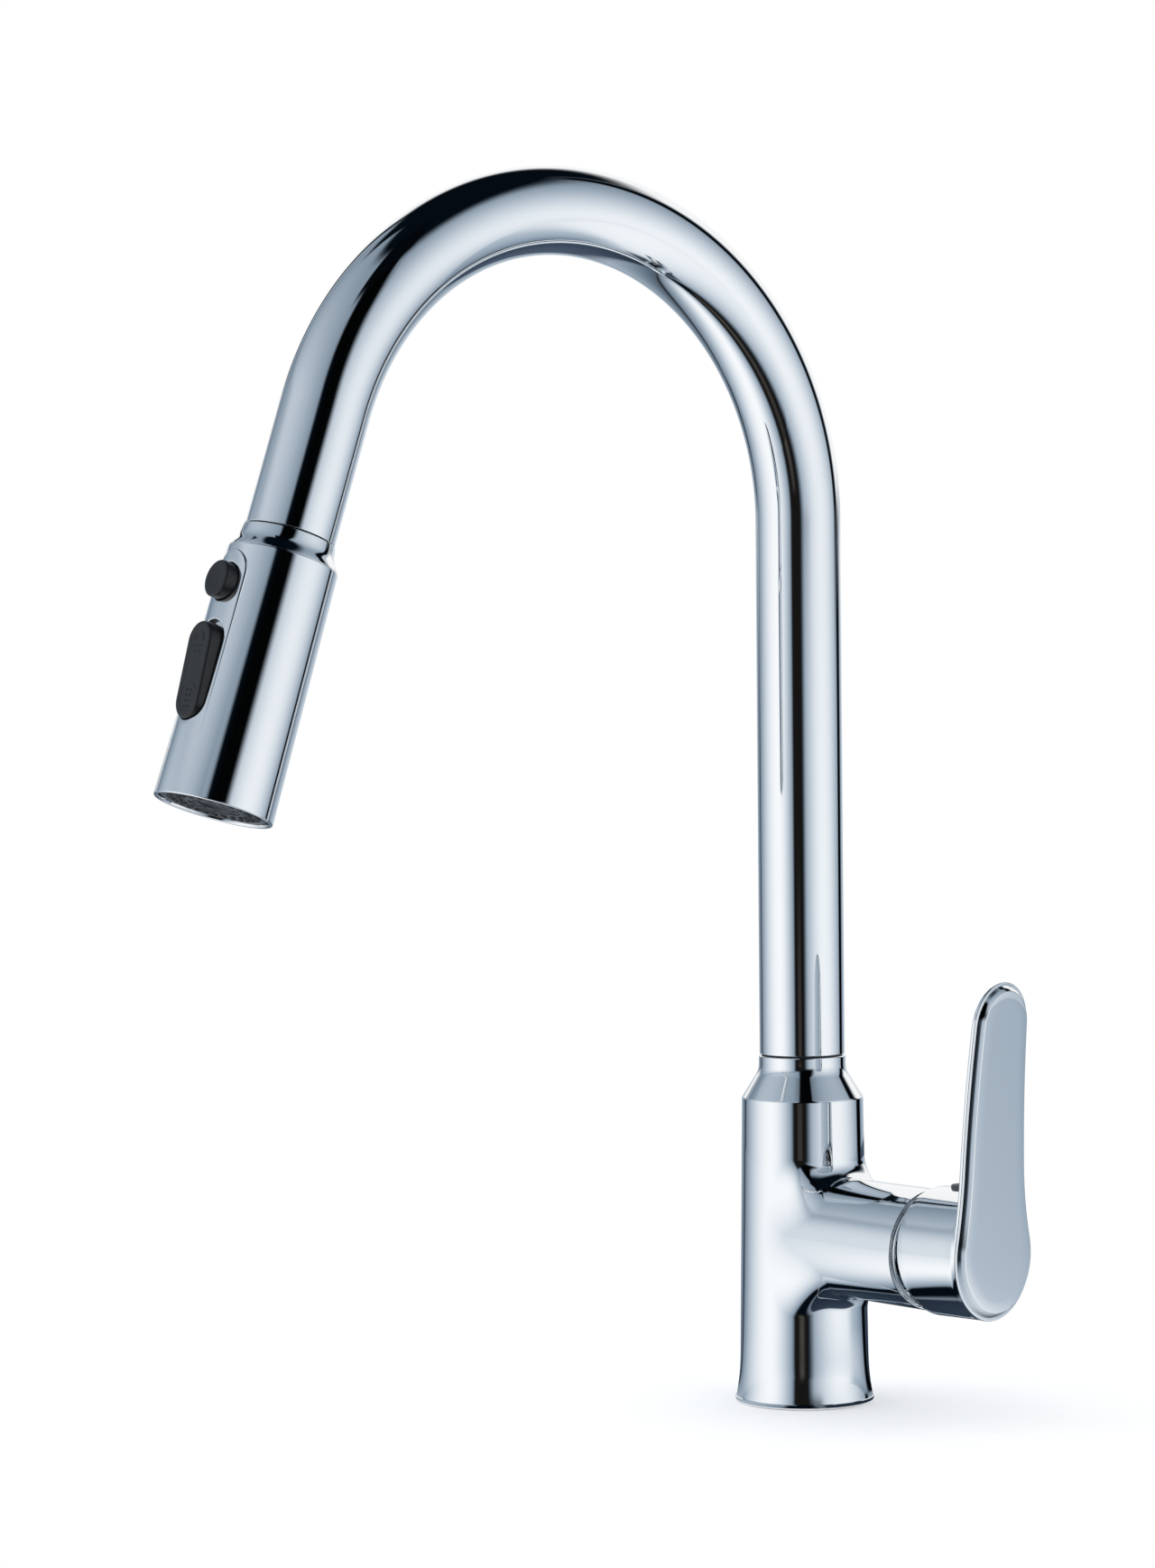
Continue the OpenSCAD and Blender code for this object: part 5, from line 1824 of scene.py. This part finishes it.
@dataclass
class SprayFace(Assembly):
    """Recessed face at the head's lower end: plate, nozzles and aerator."""

    body: Body = Body.SPRAY_HEAD
    plate_top: float = 82.5
    face: float = 85.9
    rim: float = 16.45
    sunk: float = 0.35
    cup_sunk: float = 0.25
    outer_nozzles: tuple[int, float, float] = (30, 13.6, 0.0)
    inner_nozzles: tuple[int, float, float] = (21, 11.0, 5.0)
    keys: int = 8
    key_circle: float = 6.45
    screen_at: float = 82.2
    screen_radius: float = 4.1
    screen_pitch: float = 0.55
    screen_wire: float = 0.11
    screen_wave: float = 0.13

    def build(self) -> None:
        """Make the plate with its two rings of nozzles, and the aerator."""
        top, face, rim = self.plate_top, self.face, self.rim
        plate = rounded([(8.05, top), (rim, top), (rim, face, 0.35), (14.9, face, 0.4),
                         (14.4, face - 0.35, 0.3), (9.4, face - 0.35, 0.3), (8.9, face, 0.3),
                         (8.05, face, 0.2), (8.05, top)], steps=4)
        self.place("spray_face", Skin().lathe(plate, AT_MOUTH, 144), Slot.SPRAY,
                   ("spray_plate",))
        nozzle = Skin().lathe(rounded([(0.95, -2), (0.9, 0.1, 0.1), (0.62, 0.62, 0.1),
                                       (0.3, 0.62, 0.05), (0.26, -0.6), (0.01, -0.6)],
                                      steps=2), UPRIGHT, 16).mesh("nozzle")
        level = AT_MOUTH.moved(0, 0, face - self.sunk)
        rings = [self.shop.pattern.ring_mesh(nozzle.copy(), *ring, level)
                 for ring in (self.outer_nozzles, self.inner_nozzles)]
        backing = Skin().lathe(rounded([(8.1, 79.7), (16.0, 79.7), (16.0, 82.45),
                                        (8.1, 82.45), (8.1, 79.7)]), AT_MOUTH, 96)
        self.place("nozzle_rings", join_meshes("nozzle_rings", rings + [backing.mesh("backing")]),
                   Slot.NOZZLE, ("nozzle_mat",), rims=True)
        self.aerator()
        self.screen()

    def aerator(self) -> None:
        """Make the aerator in the middle of the spray face, with its key slots."""
        edge = self.face - self.cup_sunk
        cup = rounded([(4.6, 76.2), (7.95, 76.2), (7.95, edge, 0.35), (5.1, edge, 0.25),
                       (4.7, edge - 0.9, 0.3), (4.2, edge - 1.4, 0.2), (4.2, 80.8),
                       (3.2, 80.8), (3.2, 77.5), (4.6, 77.5), (4.6, 76.2)], steps=4)
        key = Skin()
        rings = []
        for drop, height in ((0.0, 0.02), (0.0, 0.16), (0.22, 0.22)):
            x, y = 0.95 - drop, 0.8 - drop
            rings.append([(-x, -y, height), (x, -y, height), (x, y, height), (-x, y, height)])
        key.sheet(np.array(rings), closed=True).cap(np.array(rings[-1]))
        keys = self.shop.pattern.ring_mesh(key.mesh("key"), self.keys, self.key_circle, 0.0,
                                           AT_MOUTH.moved(0, 0, edge))
        self.place("aerator_cup", Skin().lathe(cup, AT_MOUTH, 96), Slot.SPRAY,
                   ("aerator_housing",))
        self.place("aerator_keys", keys, Slot.BUTTON, rims=True)

    def screen(self) -> None:
        """Make the woven screen inside the aerator."""
        skin = Skin()
        level, pitch, wire = self.screen_at, self.screen_pitch, self.screen_wire
        for k in np.arange(-3.85, 3.9, pitch):
            length = math.sqrt(self.screen_radius ** 2 - k * k)
            for turn in (0, 1):
                along = np.linspace(-length, length, 30)
                wave = self.screen_wave * np.cos(along / pitch * math.pi
                                                 + (math.pi if turn else 0)
                                                 + k / pitch * math.pi)
                rows = []
                for a in np.linspace(0, 2 * math.pi, 7):
                    side = k + wire * math.cos(a) + 0 * along
                    height = level + wave + wire * math.sin(a)
                    spots = (along, side, height) if turn else (side, along, height)
                    rows.append(AT_MOUTH(np.stack(spots, axis=1)))
                skin.sheet(np.array(rows))
        skin.lathe(rounded([(3.85, level - 0.3), (4.15, level - 0.3, 0.1),
                            (4.15, level + 0.3, 0.1), (3.85, level + 0.3, 0.1),
                            (3.85, level - 0.3)]), AT_MOUTH, 64)
        self.place("aerator_screen", skin, Slot.STEEL, ("aerator_mesh",), rims=True)


# ---------------- studio


# the display scale's own white and power, and spans of elevation that have no soft edge
DISPLAY_WHITE = 0.955
DISPLAY_POWER = 2.2
NADIR, ZENITH = -89, 90
NO_EDGE = 99


@dataclass(frozen=True)
class Card:
    """A curved card of the studio, seen only in reflections.

    Its span is in degrees round the object and up from the table. Its glow is on a
    display scale, where 1 is white: peak at the hot spot, rim at its edges.
    """

    name: str
    azimuth: Pair
    elevation: Pair
    peak: float
    rim: float
    hot: Pair = (0.0, 0.0)
    falloff: Pair = (1.5, 1.5)
    soft: float = 6.0
    cool: float = 0.055
    distance: float = 3.0

    def glow(self, azimuth: float, elevation: float) -> Glow:
        """Colour and cover of the card at a direction.

        Args:
            azimuth: Degrees round the object.
            elevation: Degrees up from the table.

        Returns:
            Linear red, green and blue, and the cover from 0 to 1.
        """
        left, cover = 1.0, 1.0
        for value, span, hot, power in ((azimuth, self.azimuth, self.hot[0], self.falloff[0]),
                                        (elevation, self.elevation, self.hot[1],
                                         self.falloff[1])):
            reach = (span[1] if value > hot else span[0]) - hot
            left *= 1 - min(1.0, abs((value - hot) / reach)) ** power if reach else 0.0
            inside = min(value - span[0] if span[0] > NADIR else NO_EDGE,
                         span[1] - value if span[1] != ZENITH else NO_EDGE)
            edge = min(1.0, max(0.0, inside / self.soft))
            cover *= edge * edge * (3 - 2 * edge)
        level = self.rim + (self.peak - self.rim) * left
        lean = 4 * self.cool * level * (1 - level)
        return (*((max(0.0, level + lean * k) / DISPLAY_WHITE) ** DISPLAY_POWER
                  for k in (-1, 0, 1)), cover)


CARDS: tuple[Card, ...] = (
    Card("room_side", (172, 456), (-90, 90), 0.075, 0.075, soft=9, cool=0.09, distance=3.4),
    Card("room_over_backdrop", (66, 200), (38, 90), 0.075, 0.075, soft=13, cool=0.09,
         distance=3.35),
    Card("room_below", (84, 182), (-90, 6), 0.16, 0.16, soft=9, cool=0.06, distance=3.33),
    Card("table_behind", (90, 180), (-72, 8), 0.95, 0.33, hot=(130, 3), falloff=(2.2, 0.55),
         soft=7, distance=3.3),
    Card("left_low_panel", (-178, -55), (-79, 30), 0.98, 0.48, hot=(-102, -6),
         falloff=(1.9, 4.0), soft=7),
    Card("left_high_panel", (-180, -44), (16, 76), 0.81, 0.53, hot=(-118, 22),
         falloff=(1.9, 1.1), soft=7, distance=3.1),
    Card("ceiling_corner", (168, 204), (53, 90), 0.075, 0.075, soft=6, cool=0.09,
         distance=2.95),
    Card("right_panel", (-35, 90), (-82, 63), 0.955, 0.50, hot=(25, -9), falloff=(2.0, 1.5),
         soft=14, distance=2.9),
    Card("upper_flag", (-47, -9), (36, 66), 0.04, 0.04, soft=5, cool=0.02, distance=2.8),
    Card("upper_flag_foot", (-46, -1), (0, 57), 0.04, 0.04, soft=14, cool=0.02,
         distance=2.78),
    Card("upper_flag_head", (-64, -2), (54, 82), 0.06, 0.06, soft=6, cool=0.06, distance=2.76),
    Card("camera_gap", (-51, -38), (-36, -2), 0.27, 0.18, hot=(-44, -18), soft=4, cool=-0.015,
         distance=2.7),
    Card("camera_dark", (-58, -32), (-36, 18), 0.11, 0.11, soft=4, cool=-0.01, distance=2.75),
    Card("far_flag", (73, 91), (0, 62), 0.05, 0.05, soft=5, cool=0.07, distance=2.8),
    Card("far_flag_foot", (81, 101), (-89.5, 6), 0.05, 0.05, soft=4, cool=0.07, distance=2.79),
    Card("backdrop_edge", (167, 177), (12, 50), 0.2, 0.2, soft=3, distance=2.8),
    Card("back_side_panel", (172, 200), (-8, 58), 0.70, 0.6, hot=(185, 10), soft=7,
         distance=3.2),
    Card("back_line", (176, 184), (-75, 3), 0.17, 0.17, soft=3, distance=2.8),
)


def surround(azimuth: float, elevation: float) -> np.ndarray:
    """Colour of all the cards, one over another, at a direction.

    Args:
        azimuth: Degrees round the object.
        elevation: Degrees up from the table.

    Returns:
        Linear red, green and blue.
    """
    colour = np.ones(3)
    for card in sorted(CARDS, key=lambda c: -c.distance):
        turn = card.azimuth[0] + (azimuth - card.azimuth[0]) % 360
        if turn <= card.azimuth[1] and card.elevation[0] <= elevation <= card.elevation[1]:
            *glow, cover = card.glow(turn, elevation)
            colour = colour + (np.array(glow) - colour) * cover
    return colour


@dataclass(frozen=True)
class Shade:
    """A wedge of the table, seen from above, that is darker in reflections.

    Its sizes are degrees and metres, and dim is the share of each colour that it takes.
    """

    azimuth: Pair
    soft: float
    reach: Pair
    dim: Colour

    def cover(self, turn: float, radius: float) -> float:
        """Cover at a spot of the table.

        Args:
            turn: Degrees round the object.
            radius: Metres from its axis.

        Returns:
            The cover, from 0 to 1.
        """
        (first, last), (near, far) = self.azimuth, self.reach
        past = (turn - first) % 360
        cover = min(1.0, max(0.0, min(past, last - first - past) / self.soft))
        return cover * min(1.0, max(0.0, min(radius / near - 1, 4 - 4 * radius / far)))


@dataclass(frozen=True)
class Lamp:
    """A soft square lamp: its place, its power in watts and its side."""

    name: str
    at: Point
    power: float
    size: float


@dataclass
class Studio:
    """Table, camera, lamps and cards, in metres."""

    table_radius: float = 0.18
    table_solid: float = 0.06
    table_glow: float = 0.22
    table_sunk: float = 0.0003
    table_sides: int = 96
    cards_from: float = 0.0231
    cards_radius: float = 0.84
    cards_rings: int = 36
    cards_turns: int = 180
    cards_above: float = 0.0004
    table_fall: float = 0.07
    shades: tuple[Shade, ...] = (
        Shade((40.0, 92.0), 14.0, (0.1, 1.6), (0.36, 0.31, 0.26)),
        Shade((96.0, 152.0), 7.0, (0.03, 1.6), (0.85, 0.82, 0.77)),
        Shade((-26.0, 64.0), 6.0, (0.01, 0.11), (0.93, 0.91, 0.88)))
    card_grid: int = 49
    lamps: tuple[Lamp, ...] = (Lamp("key_lamp", (-0.5, -1.4, 1.9), 9.0, 1.8),
                               Lamp("fill_lamp", (1.6, 0.4, 1.4), 5.0, 1.8))
    sky: Colour = (0.95, 0.97, 1.0)
    sky_strength: float = 0.85
    table_colour: Colour = (0.9, 0.905, 0.91)
    centre: Point = (0.0, -0.08, 0.2)
    camera_at: Point = (1.090897, -0.929668, 0.239549)
    forward: Point = (-0.79306, 0.60863, -0.02478)
    sideways: Point = (0.60889, 0.79320, -0.00925)
    lens: float = 99.73
    sensor: float = 36.0

    def camera(self) -> None:
        """Set the camera at the view's own angle and distance."""
        data = bpy.data.cameras.new("camera")
        data.sensor_fit = "AUTO"
        data.sensor_width = self.sensor
        data.lens = self.lens
        data.clip_start, data.clip_end = 0.01, 50.0
        camera = add_object("camera", data)
        forward = Vector(self.forward).normalized()
        up = Vector(self.sideways).cross(forward).normalized()
        turn = Matrix((forward.cross(up), up, -forward)).transposed().to_4x4()
        turn.translation = Vector(self.camera_at)
        camera.matrix_world = turn
        bpy.context.scene.camera = camera

    @staticmethod
    def seen(tree: Tree) -> Node:
        """Tell rays of the camera and of clear reflections from others.

        Args:
            tree: Tree that the nodes go in.

        Returns:
            One for those rays, else nought.
        """
        path = tree.add("ShaderNodeLightPath").outputs
        gloss = tree.math("MAXIMUM", path["Is Glossy Ray"], path["Is Transmission Ray"])
        return tree.math("MAXIMUM", path["Is Camera Ray"], gloss)

    @staticmethod
    def stage(name: str, points: np.ndarray, faces: list, material: Material) -> Object:
        """Put a piece of the studio in the scene, outside the object.

        Args:
            name: Name of the piece.
            points: Its points, in metres.
            faces: Indices of each face's points.
            material: Its material.

        Returns:
            The new object.
        """
        mesh = bpy.data.meshes.new(name)
        mesh.from_pydata(points.tolist(), [], faces)
        mesh.shade_smooth()
        mesh.materials.append(material)
        piece = add_object(name, mesh)
        piece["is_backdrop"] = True
        return piece

    def table(self) -> None:
        """Lay the pale table, which looks white and keeps the object's shadow.

        It fades out towards its edge, and is clear from below.
        """
        turn = np.arange(self.table_sides) * 2 * math.pi / self.table_sides
        points = polar(self.table_radius, turn, -self.table_sunk)
        material, tree = empty_material("pale_table")
        matt = tree.add("ShaderNodeBsdfDiffuse", {"Color": (*self.table_colour, 1)})
        spot = tree.add("ShaderNodeTexCoord").outputs["Object"]
        radius = tree.add("ShaderNodeVectorMath", {0: spot}, operation="LENGTH").outputs["Value"]
        fade = tree.add("ShaderNodeMapRange", {"Value": radius, "From Min": self.table_solid,
                                               "From Max": self.table_radius},
                        interpolation_type="SMOOTHSTEP").outputs["Result"]
        under = tree.add("ShaderNodeNewGeometry").outputs["Backfacing"]
        glow = tree.add("ShaderNodeEmission", {"Strength": tree.math(
            "MULTIPLY", self.seen(tree), self.table_glow)})
        both = tree.add("ShaderNodeAddShader", {0: matt, 1: glow})
        clear = tree.add("ShaderNodeBsdfTransparent")
        mix = tree.add("ShaderNodeMixShader", {0: tree.math("MAXIMUM", fade, under),
                                               1: both, 2: clear})
        tree.add("ShaderNodeOutputMaterial", {"Surface": mix})
        self.stage("table", points, [tuple(range(self.table_sides))], material)

    def world(self) -> None:
        """Light the scene from all sides, with a white background."""
        world = bpy.data.worlds.new("studio")
        world.use_nodes = True
        world.node_tree.nodes.clear()
        tree = Tree(world.node_tree)
        lit = tree.add("ShaderNodeBackground", {"Color": (*self.sky, 1),
                                                 "Strength": self.sky_strength})
        white = tree.add("ShaderNodeBackground", {"Color": (1, 1, 1, 1), "Strength": 1.0})
        mix = tree.add("ShaderNodeMixShader", {0: self.seen(tree), 1: lit, 2: white})
        tree.add("ShaderNodeOutputWorld", {"Surface": mix})
        bpy.context.scene.world = world

    def hang_lamp(self, lamp: Lamp) -> None:
        """Hang a lamp that points at the object.

        Args:
            lamp: The lamp.
        """
        data = bpy.data.lights.new(lamp.name, "AREA")
        data.energy, data.size = lamp.power, lamp.size
        piece = add_object(lamp.name, data)
        piece.location = lamp.at
        aim = Vector(self.centre) - Vector(lamp.at)
        piece.rotation_euler = aim.to_track_quat("-Z", "Y").to_euler()
        piece.visible_glossy = False

    def glow_sheet(self, name: str, points: np.ndarray, glow: list, closed: bool) -> None:
        """Hang a sheet that only reflections see.

        Args:
            name: Name of the sheet.
            points: Rows by columns of points.
            glow: Red, green, blue and cover of each point.
            closed: Whether the last column joins the first.
        """
        count, width, _ = points.shape
        faces = [(i * width + j, i * width + (j + 1) % width, (i + 1) * width + (j + 1) % width,
                  (i + 1) * width + j)
                 for i in range(count - 1) for j in range(width if closed else width - 1)]
        material, tree = empty_material(name)
        read = tree.add("ShaderNodeAttribute", attribute_name="glow")
        light = tree.add("ShaderNodeEmission", {"Color": read.outputs["Color"]})
        clear = tree.add("ShaderNodeBsdfTransparent")
        mix = tree.add("ShaderNodeMixShader", {0: read.outputs["Alpha"], 1: clear, 2: light})
        tree.add("ShaderNodeOutputMaterial", {"Surface": mix})
        piece = self.stage(name, points.reshape(-1, 3), faces, material)
        piece.data.color_attributes.new("glow", "FLOAT_COLOR", "POINT").data.foreach_set(
            "color", np.array(glow).ravel())
        piece.visible_camera = False
        piece.visible_diffuse = False
        piece.visible_shadow = False

    def hang(self, card: Card) -> None:
        """Hang one curved card round the object.

        Args:
            card: The card.
        """
        rise, turn = (np.linspace(*span, self.card_grid)
                      for span in (card.elevation, card.azimuth))
        up = np.radians(rise)[:, None]
        points = polar(np.cos(up), np.radians(turn), np.sin(up)) * card.distance
        glow = [card.glow(a, e) for e in rise for a in turn]
        self.glow_sheet(card.name, points + np.array(self.centre), glow, False)

    def table_cards(self) -> None:
        """Lay sheets on the table that carry the cards on down to the object's foot."""
        radii = np.geomspace(self.cards_from, self.cards_radius, self.cards_rings)
        turns = np.arange(self.cards_turns) * 360 / self.cards_turns
        glow = []
        for radius in radii:
            fall = math.degrees(math.atan(self.table_fall / radius))
            for turn in turns:
                colour = surround(turn, -fall)
                for shade in self.shades:
                    colour = colour * (1 - shade.cover(turn, radius) * np.array(shade.dim))
                glow.append((*colour, 1.0))
        points = polar(radii[:, None], np.radians(turns), self.cards_above)
        self.glow_sheet("table_cards", points, glow, True)

    def build(self) -> None:
        """Set up the whole studio."""
        self.camera()
        self.table()
        self.world()
        for lamp in self.lamps:
            self.hang_lamp(lamp)
        for card in CARDS:
            self.hang(card)
        self.table_cards()
        bpy.context.scene.view_settings.view_transform = "Standard"


# ---------------- main


def write_sizes() -> None:
    """Gather the CAD box and the visual model's box, which are not written anywhere."""

    def plain(box: Sequence[Sequence[float]]) -> list[list[float]]:
        """Turn a pair of corners into plain lists."""
        return [[float(v) for v in corner] for corner in box]

    {"cad": plain(CAD_BOX), "visual": plain(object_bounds())}


def main() -> None:
    """Build the studio, the finishes and every piece."""
    Studio().build()
    shop = Workshop()
    shop.dress_frame()
    for kind in (ValveBody, Spout, LeverHandle, SprayHead, SprayFace):
        kind(shop).build()
        log.info("%s is built", kind.__name__)
    write_sizes()


if __name__ == "__main__":
    main()
